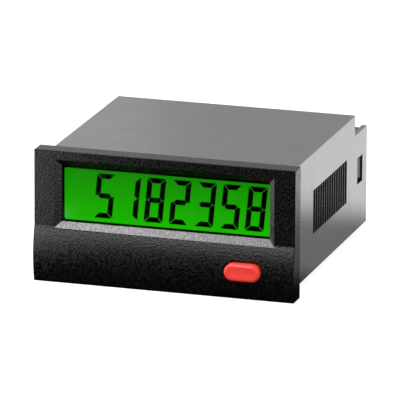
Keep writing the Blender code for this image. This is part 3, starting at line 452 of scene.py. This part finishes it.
lit_glass, tree = blank("lit_liquid_crystal_glass")
place = node(tree, "TexCoord").outputs["Object"]
height = node(tree, "SeparateXYZ", {}, {"Vector": place})
cloud = node(tree, "TexNoise", {"Scale": 1000 / 12.0, "Detail": 3.0}, {"Vector": place})
up_the_field = {"From Min": at(0, 0, FIELD_LOW).z, "From Max": at(0, 0, FIELD_HIGH).z}
level = node(tree, "MapRange", up_the_field, {"Value": height.outputs["Z"]})
wander = node(
    tree,
    "MapRange",
    {**NOISE_SPAN, "To Min": -CLOUDING, "To Max": CLOUDING},
    {"Value": cloud.outputs["Fac"]},
)
mixed = node(tree, "Math", {"operation": "ADD"}, {0: level.outputs[0], 1: wander.outputs[0]})
ramp = node(tree, "ValToRGB", {}, {"Fac": mixed.outputs[0]})
ramp.color_ramp.elements[0].color = linear(FIELD_BOTTOM)
ramp.color_ramp.elements[1].color = linear(FIELD_TOP)
lit = {
    "Base Color": linear(GLASS_DARK),
    "Roughness": 0.35,
    "IOR": 1.52,
    "Specular IOR Level": 0.03,
    "Emission Strength": 1.0,
}
shader = node(tree, "BsdfPrincipled", lit, {"Emission Color": ramp.outputs[0]})
node(tree, "OutputMaterial", {}, {"Surface": shader.outputs[0]})
dressed(lit_glass, "lcd_cell")

half_width = DIGIT_WIDTH / 2
half_height = DIGIT_HEIGHT / 2
inner_width = half_width - STROKE
upper_right = [
    (half_width, half_height - SPLIT * 2),
    (half_width, SPLIT),
    (half_width - STROKE / 2, SPLIT),
    (inner_width, STROKE / 2 + SPLIT),
    (inner_width, half_height - STROKE - SPLIT),
]
top = [
    (-half_width + SPLIT * 2, half_height),
    (half_width - SPLIT * 2, half_height),
    (inner_width - SPLIT, half_height - STROKE),
    (-inner_width + SPLIT, half_height - STROKE),
]
bar = [
    (-half_width + STROKE / 2 + SPLIT, 0),
    (-inner_width - SPLIT / 2, STROKE / 2),
    (inner_width + SPLIT / 2, STROKE / 2),
    (half_width - STROKE / 2 - SPLIT, 0),
    (inner_width + SPLIT / 2, -STROKE / 2),
    (-inner_width - SPLIT / 2, -STROKE / 2),
]
SEGMENTS = {
    "a": top,
    "b": upper_right,
    "c": [(x, -z) for x, z in upper_right],
    "d": [(x, -z) for x, z in top],
    "e": [(-x, -z) for x, z in upper_right],
    "f": [(-x, z) for x, z in upper_right],
    "g": bar,
}


def segment_print(name, chosen, front, back):
    """Thin polygons for the chosen segments of every digit place, between two depths."""
    mesh = bpy.data.meshes.new(name)
    shape = bmesh.new()
    for index, digit in enumerate(DIGITS):
        centre = DIGIT_FIRST + index * DIGIT_PITCH
        for outline in [SEGMENTS[key] for key in SEGMENTS if chosen(key, digit)]:
            loops = [
                [shape.verts.new(at(centre + x + z * SLANT, y, DIGIT_MIDDLE + z)) for x, z in outline]
                for y in (front, back)
            ]
            for corner in range(len(outline)):
                following = (corner + 1) % len(outline)
                shape.faces.new(
                    (loops[0][corner], loops[0][following], loops[1][following], loops[1][corner])
                )
            shape.faces.new(loops[0])
            shape.faces.new(loops[1])
    bmesh.ops.recalc_face_normals(shape, faces=shape.faces)
    shape.to_mesh(mesh)
    shape.free()
    piece = bpy.data.objects.new(name, mesh)
    bpy.context.scene.collection.objects.link(piece)
    return piece


# Driven segments turn the light off; the undriven ones leave a trace that shows only up close.
digits = segment_print(
    "lcd_digits",
    lambda key, digit: key in SEGMENTS_OF[digit],
    LCD_Y - DRIVEN_FRONT,
    LCD_Y + PRINT_BACK,
)
digits.data.materials.append(moulded("driven_crystal", DRIVEN_BLACK, 1.5, 0.5, 0.1, 0.001, specular=0.1))
ghosts = segment_print(
    "lcd_resting_segments",
    lambda key, digit: key not in SEGMENTS_OF[digit],
    LCD_Y - RESTING_FRONT,
    LCD_Y + PRINT_BACK,
)
resting, tree = blank("resting_crystal")
place = node(tree, "TexCoord").outputs["Object"]
height = node(tree, "SeparateXYZ", {}, {"Vector": place})
level = node(tree, "MapRange", up_the_field, {"Value": height.outputs["Z"]})
ramp = node(tree, "ValToRGB", {}, {"Fac": level.outputs[0]})
ramp.color_ramp.elements[0].color = linear(RESTING_BOTTOM)
ramp.color_ramp.elements[1].color = linear(RESTING_TOP)
lit = {
    "Base Color": linear(RESTING_DARK),
    "Roughness": 0.3,
    "Specular IOR Level": 0.1,
    "Emission Strength": 1.0,
}
shader = node(tree, "BsdfPrincipled", lit, {"Emission Color": ramp.outputs[0]})
node(tree, "OutputMaterial", {}, {"Surface": shader.outputs[0]})
ghosts.data.materials.append(resting)
for piece in (digits, ghosts):
    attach(piece, "case")

# Backlight and contact strip
# A moulded acrylic block spreads the light of four small green lamps. A silicone strip with fine
# carbon layers carries the signals from the display board to the glass.
# The guide is glossy and clear, the lamps are milky green and the strip is a dull dark grey.
clear_guide = moulded("moulded_clear_guide", "#dfeee0", 1.49, 0.12, 2.0, 0.003, subsurface=0.3)
dressed(clear_guide, "light_guide")
lamp_resin = moulded("green_lamp_resin", "#4fae58", 1.52, 0.3, 0.4, 0.003, subsurface=0.4)
dressed(lamp_resin, *["backlight_led_" + str(number) for number in range(1, 5)])
dressed(moulded("silicone_and_carbon", "#3a3a3c", 1.41, 0.65, 0.15, 0.01), "zebra_strip")

# Reset button, its seal and its switch
# The button is a red ABS key with a faintly dished face inside a softened rim. It stands a little
# proud of the bulge, and a flange behind the wall holds it in on a rubber ring.
BUTTON_Z = -6.9
BUTTON_WIDTH = 6.56
BUTTON_HEIGHT = 3.14
BUTTON_FRONT = -1.95
BUTTON_RIM = 0.5
BUTTON_STEPS = 8
BUTTON_SHARP = 40
DISH_DEPTH = 0.06
DISH_STEPS = 4
DISH_STEP = 0.2
FLANGE_FROM = 1.7
FLANGE_TO = 2.5
FLANGE_OUT = 0.6
SEAL_FROM = 1.2
SEAL_TO = 1.6
SEAL_GAP = 0.15
BUTTON_RED = "#fb463d"

# Rings from the back of the flange to the middle of the face: how far back, and how far inwards
rings = [(FLANGE_TO, -FLANGE_OUT), (FLANGE_FROM, -FLANGE_OUT), (FLANGE_FROM, 0.0)]
for step in range(BUTTON_STEPS + 1):
    turn = math.radians(90 * step / BUTTON_STEPS)
    inset = BUTTON_RIM * (1 - math.cos(turn))
    rings.append((BUTTON_FRONT + BUTTON_RIM * (1 - math.sin(turn)), inset))
for step in range(1, DISH_STEPS + 1):
    rings.append((BUTTON_FRONT + DISH_DEPTH * step / DISH_STEPS, BUTTON_RIM + step * DISH_STEP))


def button_outline(grow):
    """The button's outline, made wider all round."""
    return oblong((HOLE_X, BUTTON_Z), BUTTON_WIDTH + 2 * grow, BUTTON_HEIGHT + 2 * grow)


button = lofted("reset_key_cap", [[(x, y, z) for x, z in button_outline(-inset)] for y, inset in rings])
button.data.shade_smooth()
button.data.set_sharp_from_angle(angle=math.radians(BUTTON_SHARP))
# The mould was blasted finely, so the lamps spread to a soft sheen, and a little light enters the red.
red_abs = moulded(
    "satin_red_abs", BUTTON_RED, 1.53, 0.38, 0.35, 0.003, mottle=0.04, specular=0.35, subsurface=0.15
)
button.data.materials.append(red_abs)
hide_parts("reset_button")
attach(button, "reset_key")
seal = extruded("rubber_seal_ring", "Y", button_outline(FLANGE_OUT), SEAL_FROM, SEAL_TO)
seal_hole = extruded("seal_hole", "Y", button_outline(SEAL_GAP), SEAL_FROM - OVERLAP, SEAL_TO + OVERLAP)
shaped(seal, "DIFFERENCE", [seal_hole])
# Moulded rubber and glass-filled nylon are dull and nearly black, and natural nylon is milky.
seal.data.materials.clear()
seal.data.materials.append(moulded("moulded_nitrile_rubber", "#161617", 1.52, 0.7, 0.2, 0.01))
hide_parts("button_seal")
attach(seal, "case")
dressed(moulded("glass_filled_black_nylon", "#1b1c1e", 1.53, 0.5, 0.3, 0.008), "switch_body")
dressed(moulded("natural_nylon", "#ded8c6", 1.53, 0.4, 0.5, 0.004, subsurface=0.3), "switch_plunger")

# Circuit boards
# Woven glass in epoxy under a green solder mask. The weave shows through the mask as a faint check,
# and the mask has dried in small ripples.
THREAD = 0.5
RIPPLE = 0.8
RIPPLE_DEPTH = 0.01

laminate, tree = blank("solder_masked_glass_epoxy")
place = node(tree, "TexCoord").outputs["Object"]
check = {"Scale": 1000 / THREAD, "Color1": linear("#17603a"), "Color2": linear("#1a6a41")}
weave = node(tree, "TexChecker", check, {"Vector": place})
ripple = node(tree, "TexNoise", {"Scale": 1000 / RIPPLE, "Detail": 3.0}, {"Vector": place})
relief = node(tree, "Bump", {"Distance": RIPPLE_DEPTH / 1000}, {"Height": ripple.outputs["Fac"]})
shader = node(
    tree,
    "BsdfPrincipled",
    {"Roughness": 0.32, "IOR": 1.55},
    {"Base Color": weave.outputs["Color"], "Normal": relief.outputs[0]},
)
node(tree, "OutputMaterial", {}, {"Surface": shader.outputs[0]})
dressed(laminate, "display_board", "main_board")

# Parts on the main board
# Black epoxy packages, a drawn aluminium capacitor can, a plated crystal can and a pin header,
# soldered to the board before it slides into the housing's rails.
# The filler makes the packages matt with a fine speckle.
dressed(
    moulded("transfer_moulded_epoxy", "#202123", 1.55, 0.55, 0.12, 0.008),
    "microcontroller", "optocoupler_1", "optocoupler_2", "regulator", "link_header",
)


def metal(name, colour, roughness, grit, depth, stretch=(1.0, 1.0, 1.0)):
    """Metal with a worked surface: grit width and depth in millimetres, drawn out along an axis."""
    material, tree = blank(name)
    place = node(tree, "TexCoord").outputs["Object"]
    drawn = node(tree, "VectorMath", {"operation": "MULTIPLY", 1: stretch}, {0: place})
    worked = {"Scale": 1000 / grit, "Detail": 4.0, "Roughness": 0.65}
    scratch = node(tree, "TexNoise", worked, {"Vector": drawn.outputs[0]})
    haze = node(tree, "TexNoise", {"Scale": 1000 / 3.0, "Detail": 4.0}, {"Vector": place})
    relief = node(tree, "Bump", {"Distance": depth / 1000}, {"Height": scratch.outputs["Fac"]})
    gloss = node(
        tree,
        "MapRange",
        {**NOISE_SPAN, "To Min": roughness * 0.75, "To Max": roughness * 1.25},
        {"Value": haze.outputs["Fac"]},
    )
    shader = node(
        tree,
        "BsdfPrincipled",
        {"Base Color": linear(colour), "Metallic": 1.0},
        {"Roughness": gloss.outputs[0], "Normal": relief.outputs[0]},
    )
    node(tree, "OutputMaterial", {}, {"Surface": shader.outputs[0]})
    return material


# Drawing leaves fine upright lines on the can. Nickel plate is smooth, bright and faintly warm.
dressed(metal("drawn_aluminium", "#c9cbce", 0.3, 0.2, 0.002, (1, 1, 0.1)), "capacitor")
nickel_plate = metal("nickel_plated_steel", "#b9b7b0", 0.25, 0.3, 0.002)
dressed(nickel_plate, "crystal", "lithium_cell", "cell_tab_bottom", "cell_tab_top")

# Terminal block, clamps and screws
# A glass-filled nylon block holds a bent brass clamp in each cell, soldered to the board by its pin.
# A slotted screw in the well above pulls the clamp up on the wire.
TERMINAL_COUNT = 8
TERMINAL_FIRST = -17.5
TERMINAL_PITCH = 5.0
TERMINALS = [TERMINAL_FIRST + TERMINAL_PITCH * index for index in range(TERMINAL_COUNT)]
BLOCK_X = 20.7
SHOULDER_X = 21.3
SHOULDER_LOW = 2.05
BLOCK_FROM = 41.6
BLOCK_TO = 50.1
BLOCK_LOW = -2.15
BLOCK_HIGH = 7.05
ENTRY_X = 1.9
ENTRY_FROM = 44.2
ENTRY_LOW = -1.15
ENTRY_HIGH = 3.65
MOUTH_OUT = 0.25
MOUTH_UP = 0.3
MOUTH_DEPTH = 0.3
SCREW_Y = 46.6
HEAD_LOW = 5.15
HEAD_HIGH = 6.55
HEAD_RADIUS = 1.8
WELL_RADIUS = 2.0
WELL_RIM = 0.35
NYLON_EDGE = 0.08
SCREW_EDGE = 0.04
SCREW_TURN = 17
SCREW_SIDES = 48
SHANK_RADIUS = 1.15
SHANK_TIP = 1.15
SHANK_PLAY = 0.2
SHANK_HOLE = (3.0, 6.0)
SHANK_SIDES = 24
SLOT_X = 0.25
SLOT_Y = 2.5
SLOT_DEPTH = 0.7
CLEAR = 0.1


def circle(centre, radius, sides):
    """Points all round a circle."""
    return arc(centre, radius, 0, 360 - 360 / sides, sides - 1)


def turned(name, x, rings):
    """A round body on a terminal's screw axis, through rings of a height and a radius."""
    return lofted(
        name, [[(a, b, z) for a, b in circle((x, SCREW_Y), size, SCREW_SIDES)] for z, size in rings]
    )


block_y = (BLOCK_FROM, BLOCK_TO)
terminal_block = block("terminal_block_moulding", (-BLOCK_X, BLOCK_X), block_y, (BLOCK_LOW, BLOCK_HIGH))
shoulders = block("shoulders", (-SHOULDER_X, SHOULDER_X), block_y, (SHOULDER_LOW, BLOCK_HIGH))
shaped(terminal_block, "UNION", [shoulders])
well = [(HEAD_LOW - CLEAR, WELL_RADIUS), (BLOCK_HIGH - WELL_RIM, WELL_RADIUS)]
well += [(BLOCK_HIGH + CLEAR, WELL_RADIUS + OVERLAP)]
mouth = [(BLOCK_TO + CLEAR, ENTRY_X + MOUTH_OUT, ENTRY_LOW - MOUTH_UP, ENTRY_HIGH + MOUTH_UP)]
mouth += [(BLOCK_TO - MOUTH_DEPTH, ENTRY_X, ENTRY_LOW, ENTRY_HIGH)]
entry_y = (ENTRY_FROM, BLOCK_TO + OVERLAP)
tools = []
for x in TERMINALS:
    tools.append(turned("screw_well", x, well))
    tools.append(block("wire_entry", (x - ENTRY_X, x + ENTRY_X), entry_y, (ENTRY_LOW, ENTRY_HIGH)))
    shank_hole = circle((x, SCREW_Y), SHANK_RADIUS + SHANK_PLAY, SHANK_SIDES)
    tools.append(extruded("shank_hole", "Z", shank_hole, *SHANK_HOLE))
    rings = [
        [(x - half, y, low), (x + half, y, low), (x + half, y, high), (x - half, y, high)]
        for y, half, low, high in mouth
    ]
    tools.append(lofted("entry_mouth", rings))
shaped(terminal_block, "DIFFERENCE", tools)
softened(terminal_block, NYLON_EDGE)
# The glass in the nylon gives the black a dry, slightly uneven sheen.
terminal_block.data.materials.clear()
terminal_block.data.materials.append(moulded("flame_safe_black_nylon", "#1f2022", 1.53, 0.45, 0.3, 0.01))
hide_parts("terminal_block")
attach(terminal_block, "case")

# A turned screw has a chamfered tip, a shank and a head with a domed edge, and each is left at its own
# turn. The zinc is bright with a fine satin grit, and the tin on the clamps is warmer.
zinc_plate = metal("zinc_plated_steel", "#c4c4bf", 0.28, 0.15, 0.004)
screw_rings = [(SHANK_TIP, 0.9), (SHANK_TIP + 0.25, SHANK_RADIUS), (HEAD_LOW, SHANK_RADIUS)]
screw_rings += [(HEAD_LOW, HEAD_RADIUS), (HEAD_HIGH - 0.45, HEAD_RADIUS)]
screw_rings += [(HEAD_HIGH - 0.25, HEAD_RADIUS - 0.08), (HEAD_HIGH - 0.08, HEAD_RADIUS - 0.4)]
screw_rings += [(HEAD_HIGH, HEAD_RADIUS - 0.9)]
slot_z = (HEAD_HIGH - SLOT_DEPTH, HEAD_HIGH + OVERLAP)
for number, x in enumerate(TERMINALS, 1):
    turn = math.radians(SCREW_TURN * number % 180)
    screw = turned("terminal_screw_turned_" + str(number), x, screw_rings)
    slot_cut = block("slot", (-SLOT_X, SLOT_X), (-SLOT_Y, SLOT_Y), slot_z)
    spin = Matrix.Translation(at(x, SCREW_Y, 0)) @ Matrix.Rotation(turn, 4, "Z")
    slot_cut.data.transform(spin @ Matrix.Translation(-at(0, 0, 0)))
    shaped(screw, "DIFFERENCE", [slot_cut])
    softened(screw, SCREW_EDGE)
    screw.data.materials.clear()
    screw.data.materials.append(zinc_plate)
    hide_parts("terminal_screw_" + str(number))
    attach(screw, "case")
tinned_brass = metal("tinned_brass", "#cbbf9c", 0.35, 0.25, 0.004)
dressed(tinned_brass, *["terminal_clamp_" + str(number) for number in range(1, TERMINAL_COUNT + 1)])

# Housing
# A straight tube in dark polycarbonate, open at both ends, with a step down over the terminals. It
# came from a polished tool, so it is smooth enough to carry soft reflections, with two faint flow
# lines along the top.
HOUSING_FROM = 5.1
HOUSING_TO = 51.5
HOUSING_X = 22.5
HOUSING_Z = 11.0
HOUSING_WALL = 1.0
HOUSING_CORNER = 0.22
HOUSING_EDGE = 0.05
STEP_Y = 43.5
CHEEK_Z = 7.15
CHEEK_PLAY = 0.15
RISER_WALL = 1.2
LATCH_FROM = 45.2
LATCH_TO = 48.6
LATCH_Z = 2.45
GROOVE_X = 21.9
GROOVE_Y = (8.3, 9.5)
GROOVE_Z = (0.3, 5.7)
RACK_FROM = 16.6
RACK_PITCH = 1.45
RACK_TEETH = 15
RACK_TO = RACK_FROM + RACK_TEETH * RACK_PITCH
RACK_CREST = 0.15
RACK_LEAD = 0.2
RACK_FLOOR = 0.15
RACK_DEPTH = 0.6
RACK_Z = 4.0
RACK_SLACK = 0.01
RACK_SKIN = 0.002
RAIL_FROM = 8.5
RAIL_TO = 41.2
RAIL_X = 19.9
RAILS = ((-4.9, -4.0), (-2.1, -1.2))
FLOW_LINES = ((-6.5, 6.0, 42.9), (6.0, 10.0, 31.0))
FLOW_WIDTH = 0.25
FLOW_DEPTH = 0.008
FLOW_FADE = 3.0
FLOW_END = -0.001
FLOW_EDGE = 0.002
FLOW_TILT = (0.02, 0.3)
HOUSING_GREY = "#2c2c2e"

tube = rounded_rectangle(HOUSING_X, HOUSING_Z, HOUSING_CORNER)
housing = extruded("housing_moulding", "Y", tube, HOUSING_FROM, HOUSING_TO)
inner_x = HOUSING_X - HOUSING_WALL
inner_z = HOUSING_Z - HOUSING_WALL
inside = [
    (HOUSING_FROM - OVERLAP, -inner_z),
    (HOUSING_TO + OVERLAP, -inner_z),
    (HOUSING_TO + OVERLAP, CHEEK_Z + CHEEK_PLAY),
    (STEP_Y - RISER_WALL, CHEEK_Z + CHEEK_PLAY),
    (STEP_Y - RISER_WALL, inner_z),
    (HOUSING_FROM - OVERLAP, inner_z),
]
tools = [
    extruded("hollow", "X", inside, -inner_x, inner_x),
    block("rear_step", (-BEZEL_X, BEZEL_X), (STEP_Y, HOUSING_TO + OVERLAP), (CHEEK_Z, BEZEL_Z)),
    block("latch_windows", (-BEZEL_X, BEZEL_X), (LATCH_FROM, LATCH_TO), (-LATCH_Z, LATCH_Z)),
    block("snap_grooves", (-GROOVE_X, GROOVE_X), GROOVE_Y, GROOVE_Z),
]
# Each valley of the racks slopes down towards the back, to a narrow floor before its upright wall.
for side in (-1, 1):
    for tooth in range(RACK_TEETH):
        start = RACK_FROM + tooth * RACK_PITCH
        run = RACK_PITCH - RACK_CREST
        valley = [(HOUSING_X + CLEAR, start - RACK_LEAD)]
        valley += [(HOUSING_X - RACK_DEPTH, start + run - RACK_FLOOR)]
        valley += [(HOUSING_X - RACK_DEPTH, start + run), (HOUSING_X + CLEAR, start + run)]
        valley = [(side * x, y) for x, y in valley][::side]
        tools.append(extruded("rack_valley", "Z", valley, -RACK_Z, RACK_Z))
shaped(housing, "DIFFERENCE", tools)
rails = []
for low, high in RAILS:
    rails.append(block("rail_right", (RAIL_X, inner_x + OVERLAP), (RAIL_FROM, RAIL_TO), (low, high)))
    rails.append(block("rail_left", (-inner_x - OVERLAP, -RAIL_X), (RAIL_FROM, RAIL_TO), (low, high)))
shaped(housing, "UNION", rails)
# A flow line is a shallow dent that fades out at both ends.
flow_lines = []
edge_z = HOUSING_Z + FLOW_EDGE
for x, start, end in FLOW_LINES:
    left, right = x - FLOW_WIDTH / 2, x + FLOW_WIDTH / 2
    dents = [(start, FLOW_END), (start + FLOW_FADE, FLOW_DEPTH)]
    dents += [(end - FLOW_FADE, FLOW_DEPTH), (end, FLOW_END)]
    rings = [[(left, y, edge_z), (x, y, HOUSING_Z - dent), (right, y, edge_z)] for y, dent in dents]
    flow_lines.append(lofted("flow_line", rings))
shaped(housing, "DIFFERENCE", flow_lines)
softened(housing, HOUSING_EDGE)

# The polished faces mirror the studio softly. The flow lines are paler, because two streams of the melt
# met there, and the valleys of the racks are duller, because that part of the tool was spark-eroded.
polycarbonate = moulded("tool_polished_polycarbonate", HOUSING_GREY, 1.58, 0.25, 2.0, 0.0004)
flow_line = moulded("pale_flow_line", "#515255", 1.58, 0.4, 0.5, 0.001)
tooth = moulded("eroded_tooth_polycarbonate", HOUSING_GREY, 1.58, 0.34, 0.3, 0.003, specular=0.12)
housing.data.materials.clear()
for material in (polycarbonate, flow_line, tooth):
    housing.data.materials.append(material)
for face in housing.data.polygons:
    out = (face.center - at(0, 0, 0)) * 1000
    tilted = FLOW_TILT[0] < abs(face.normal.x) < FLOW_TILT[1]
    along_rack = abs(out.z) < RACK_Z + RACK_SLACK and RACK_FROM - 1 < out.y < RACK_TO + 1
    in_wall = HOUSING_X - RACK_DEPTH - RACK_SLACK < abs(out.x) < HOUSING_X - RACK_SKIN
    if tilted and abs(out.z - HOUSING_Z) < FLOW_DEPTH:
        face.material_index = 1
    elif along_rack and in_wall:
        face.material_index = 2
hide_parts("housing")
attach(housing, "case")

# Rear cover
# A plate of the same plastic closes the rear below the terminals. It is pushed in last: the ramps of
# its two side arms slide in under the cheeks and spring out behind the edges of the latch windows.
COVER_X = 21.4
COVER_FROM = 48.9
COVER_LOW = -9.8
COVER_HIGH = -2.35
COVER_ARM = 0.5
COVER_LEG_LOW = -5.0
HOOK_X = 22.15
HOOK_Z = 1.85
HOOK_FROM = 45.4
HOOK_TO = 48.4

cover_y = (COVER_FROM, BLOCK_TO)
cover = block("rear_cover_moulding", (-COVER_X, COVER_X), cover_y, (COVER_LOW, COVER_HIGH))
arms = []
hook = [(COVER_X - COVER_ARM, HOOK_FROM), (COVER_X, HOOK_FROM), (HOOK_X, HOOK_TO), (COVER_X, HOOK_TO)]
hook += [(COVER_X, BLOCK_TO), (COVER_X - COVER_ARM, BLOCK_TO)]
for side in (-1, 1):
    arms.append(extruded("cover_hook", "Z", [(side * x, y) for x, y in hook][::side], -HOOK_Z, HOOK_Z))
    across = sorted((side * COVER_X, side * (COVER_X - COVER_ARM)))
    arms.append(block("cover_leg", across, cover_y, (COVER_LEG_LOW, HOOK_Z)))
shaped(cover, "UNION", arms)
softened(cover, MOULD_EDGE)
# Its tool was less polished than the housing's, so the sheen is duller and broader.
cover_grade = moulded("moulded_cover_polycarbonate", "#28282a", 1.58, 0.34, 0.9, 0.002, specular=0.4)
cover.data.materials.clear()
cover.data.materials.append(cover_grade)
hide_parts("rear_cover")
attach(cover, "case")

# Studio table
# A seamless white sheet. The camera sees it as pure white with a faint contact shadow. The counter's own
# faces see a painted glow on it instead: bright far behind and in two patches beside the bezel, and a
# painted shade in front.
SHEET_HALF = 4000
SHEET_GREY = "#9c9c9c"
SHEET_LIFT = 0.85
# Where the painted glow of each part of the sheet starts and is full, and how strong it is there. The
# last two keep the painted patches of light at the left and right beside the bezel.
PAINTED_GLOWS = {
    "near": ("Y", 12, 24, 0.5, "LINEAR"),
    "far": ("Y", 48, 72, 1.72, "SMOOTHSTEP"),
    "left": ("X", -29, -39, 2.0, "SMOOTHSTEP"),
    "right": ("X", 22, 34, 0.7, "SMOOTHSTEP"),
    "from_front": ("Y", -50, -30, 1.0, "SMOOTHSTEP"),
    "to_bezel": ("Y", 4, -8, 1.0, "SMOOTHSTEP"),
}

sheet_mesh = bpy.data.meshes.new("studio_sheet")
shape = bmesh.new()
bmesh.ops.create_grid(shape, x_segments=1, y_segments=1, size=SHEET_HALF / 1000)
shape.to_mesh(sheet_mesh)
shape.free()
studio_sheet = bpy.data.objects.new("studio_sheet", sheet_mesh)
bpy.context.scene.collection.objects.link(studio_sheet)
studio_sheet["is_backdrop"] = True
painted_glow_paper, tree = blank("white_paper_with_painted_glow")
place = node(tree, "NewGeometry").outputs["Position"]
sides = node(tree, "SeparateXYZ", {}, {"Vector": place})
glows = {}
for part, (side, start, end, strength, ease) in PAINTED_GLOWS.items():
    low, high = [at(reach, reach, 0)["XY".index(side)] for reach in (start, end)]
    rise = {"interpolation_type": ease, "From Min": low, "From Max": high, "To Max": strength}
    glows[part] = node(tree, "MapRange", rise, {"Value": sides.outputs[side]}).outputs[0]
across = node(tree, "Math", {"operation": "ADD"}, {0: glows["left"], 1: glows["right"]})
along = node(tree, "Math", {"operation": "MULTIPLY"}, {0: glows["from_front"], 1: glows["to_bezel"]})
beside = node(tree, "Math", {"operation": "MULTIPLY"}, {0: across.outputs[0], 1: along.outputs[0]})
behind = node(tree, "Math", {"operation": "ADD"}, {0: glows["near"], 1: glows["far"]})
total = node(tree, "Math", {"operation": "ADD"}, {0: beside.outputs[0], 1: behind.outputs[0]})
# Painted light: this emission, not any lamp, is what the counter's faces see on the sheet.
glow = node(tree, "Emission", {"Color": (1, 1, 1, 1)}, {"Strength": total.outputs[0]})
white = node(tree, "Emission", {"Color": (1, 1, 1, 1), "Strength": SHEET_LIFT})
matt = node(tree, "BsdfDiffuse", {"Color": linear(SHEET_GREY)})
shown = node(tree, "AddShader", {}, {0: white.outputs[0], 1: matt.outputs[0]})
in_view = node(tree, "LightPath").outputs["Is Camera Ray"]
either = node(tree, "MixShader", {}, {0: in_view, 1: glow.outputs[0], 2: shown.outputs[0]})
node(tree, "OutputMaterial", {}, {"Surface": either.outputs[0]})
studio_sheet.data.materials.append(painted_glow_paper)

# Surroundings
# The studio is white behind, brightest behind at the right, and dark in front where the photographer
# stands. The camera itself sees plain white.
FRONT_GLOW = 0.04
REAR_GLOW = 0.83
RIGHT_LIFT = 2.2

studio = bpy.data.worlds.new("studio")
bpy.context.scene.world = studio
studio.use_nodes = True
tree = studio.node_tree
tree.nodes.clear()
direction = node(tree, "SeparateXYZ", {}, {"Vector": node(tree, "TexCoord").outputs["Generated"]})
behind = node(
    tree,
    "MapRange",
    {"From Min": -0.3, "From Max": 0.4, "To Min": FRONT_GLOW, "To Max": REAR_GLOW},
    {"Value": direction.outputs["Y"]},
)
to_right = node(
    tree,
    "MapRange",
    {"From Min": 0.0, "From Max": 0.25, "To Min": 1.0, "To Max": RIGHT_LIFT},
    {"Value": direction.outputs["X"]},
)
level = node(tree, "Math", {"operation": "MULTIPLY"}, {0: behind.outputs[0], 1: to_right.outputs[0]})
in_view = node(tree, "LightPath").outputs["Is Camera Ray"]
strength = node(tree, "Math", {"operation": "MAXIMUM"}, {0: in_view, 1: level.outputs[0]})
dome = node(tree, "Background", {"Color": (1, 1, 1, 1)}, {"Strength": strength.outputs[0]})
node(tree, "OutputWorld", {}, {"Surface": dome.outputs[0]})

# Lamps
# A key high in front lights the flare under the window, with a card nearer by that lights its left part
# more. A box above the lens gives the bulge its sheen. A small card and two weak sheets low at the
# sides lift the frame and the side flares, and a card behind at the left makes the top lighter there.


def soft_box(name, place, aim, width, height, radiance):
    """A rectangular lamp of a given brightness, turned towards a place."""
    lamp = bpy.data.lights.new(name, "AREA")
    lamp.shape = "RECTANGLE"
    lamp.size = width / 1000
    lamp.size_y = height / 1000
    lamp.energy = radiance * math.pi * lamp.size * lamp.size_y
    holder = bpy.data.objects.new(name, lamp)
    bpy.context.scene.collection.objects.link(holder)
    holder.location = at(*place)
    holder.rotation_mode = "QUATERNION"
    holder.rotation_quaternion = (at(*aim) - at(*place)).to_track_quat("-Z", "Y")
    holder.visible_camera = False


soft_box("key_box", (-200, -300, 620), (0, 10, 0), 450, 450, 7.0)
soft_box("near_card", (-43, -46, 94), (-12, 0, -1), 50, 34, 8.0)
soft_box("front_box", (-170, -530, 205), (0, 0, 0), 340, 240, 3.0)
soft_box("left_card", (-60, -45, -2), (-25, 0, 3), 40, 20, 2.8)
soft_box("left_sheet", (-130, -15, 20), (0, 0, 3), 110, 90, 4.5)
soft_box("right_sheet", (120, -65, 5), (-10, 0, 3), 100, 60, 3.2)
soft_box("back_card", (-150, 260, 80), (0, 20, 10), 130, 150, 0.32)

# Camera
# A long lens from the right and above, at the photograph's angle. Its place and reach were fitted to
# the edges of the bezel and the housing.
AZIMUTH = math.radians(17.08)
ELEVATION = math.radians(15.56)
ROLL = math.radians(0.26)
DISTANCE = 1166.0
FOCAL_PIXELS = 6535
PHOTO_PIXELS = 400
FILM_WIDTH = 36.0
AIM_RIGHT = 0.47
AIM_DOWN = 0.53

lens = bpy.data.cameras.new("camera")
lens.sensor_width = FILM_WIDTH
lens.lens = FILM_WIDTH * FOCAL_PIXELS / PHOTO_PIXELS
lens.clip_start = 0.01
lens.clip_end = 20.0
camera = bpy.data.objects.new("camera", lens)
bpy.context.scene.collection.objects.link(camera)
level_ahead = Vector((-math.sin(AZIMUTH), math.cos(AZIMUTH), 0))
ahead = level_ahead * math.cos(ELEVATION) - Vector((0, 0, math.sin(ELEVATION)))
level_right = Vector((math.cos(AZIMUTH), math.sin(AZIMUTH), 0))
level_up = level_right.cross(ahead)
aim = at(0, 20, 0) + (level_right * AIM_RIGHT - level_up * AIM_DOWN) / 1000
right = level_right * math.cos(ROLL) + level_up * math.sin(ROLL)
up = level_up * math.cos(ROLL) - level_right * math.sin(ROLL)
turned_to = Matrix((right, up, -ahead)).transposed().to_4x4()
camera.matrix_world = Matrix.Translation(aim - ahead * DISTANCE / 1000) @ turned_to
bpy.context.scene.camera = camera
bpy.context.scene.view_settings.view_transform = "Standard"

bpy.context.view_layer.update()
low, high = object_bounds()
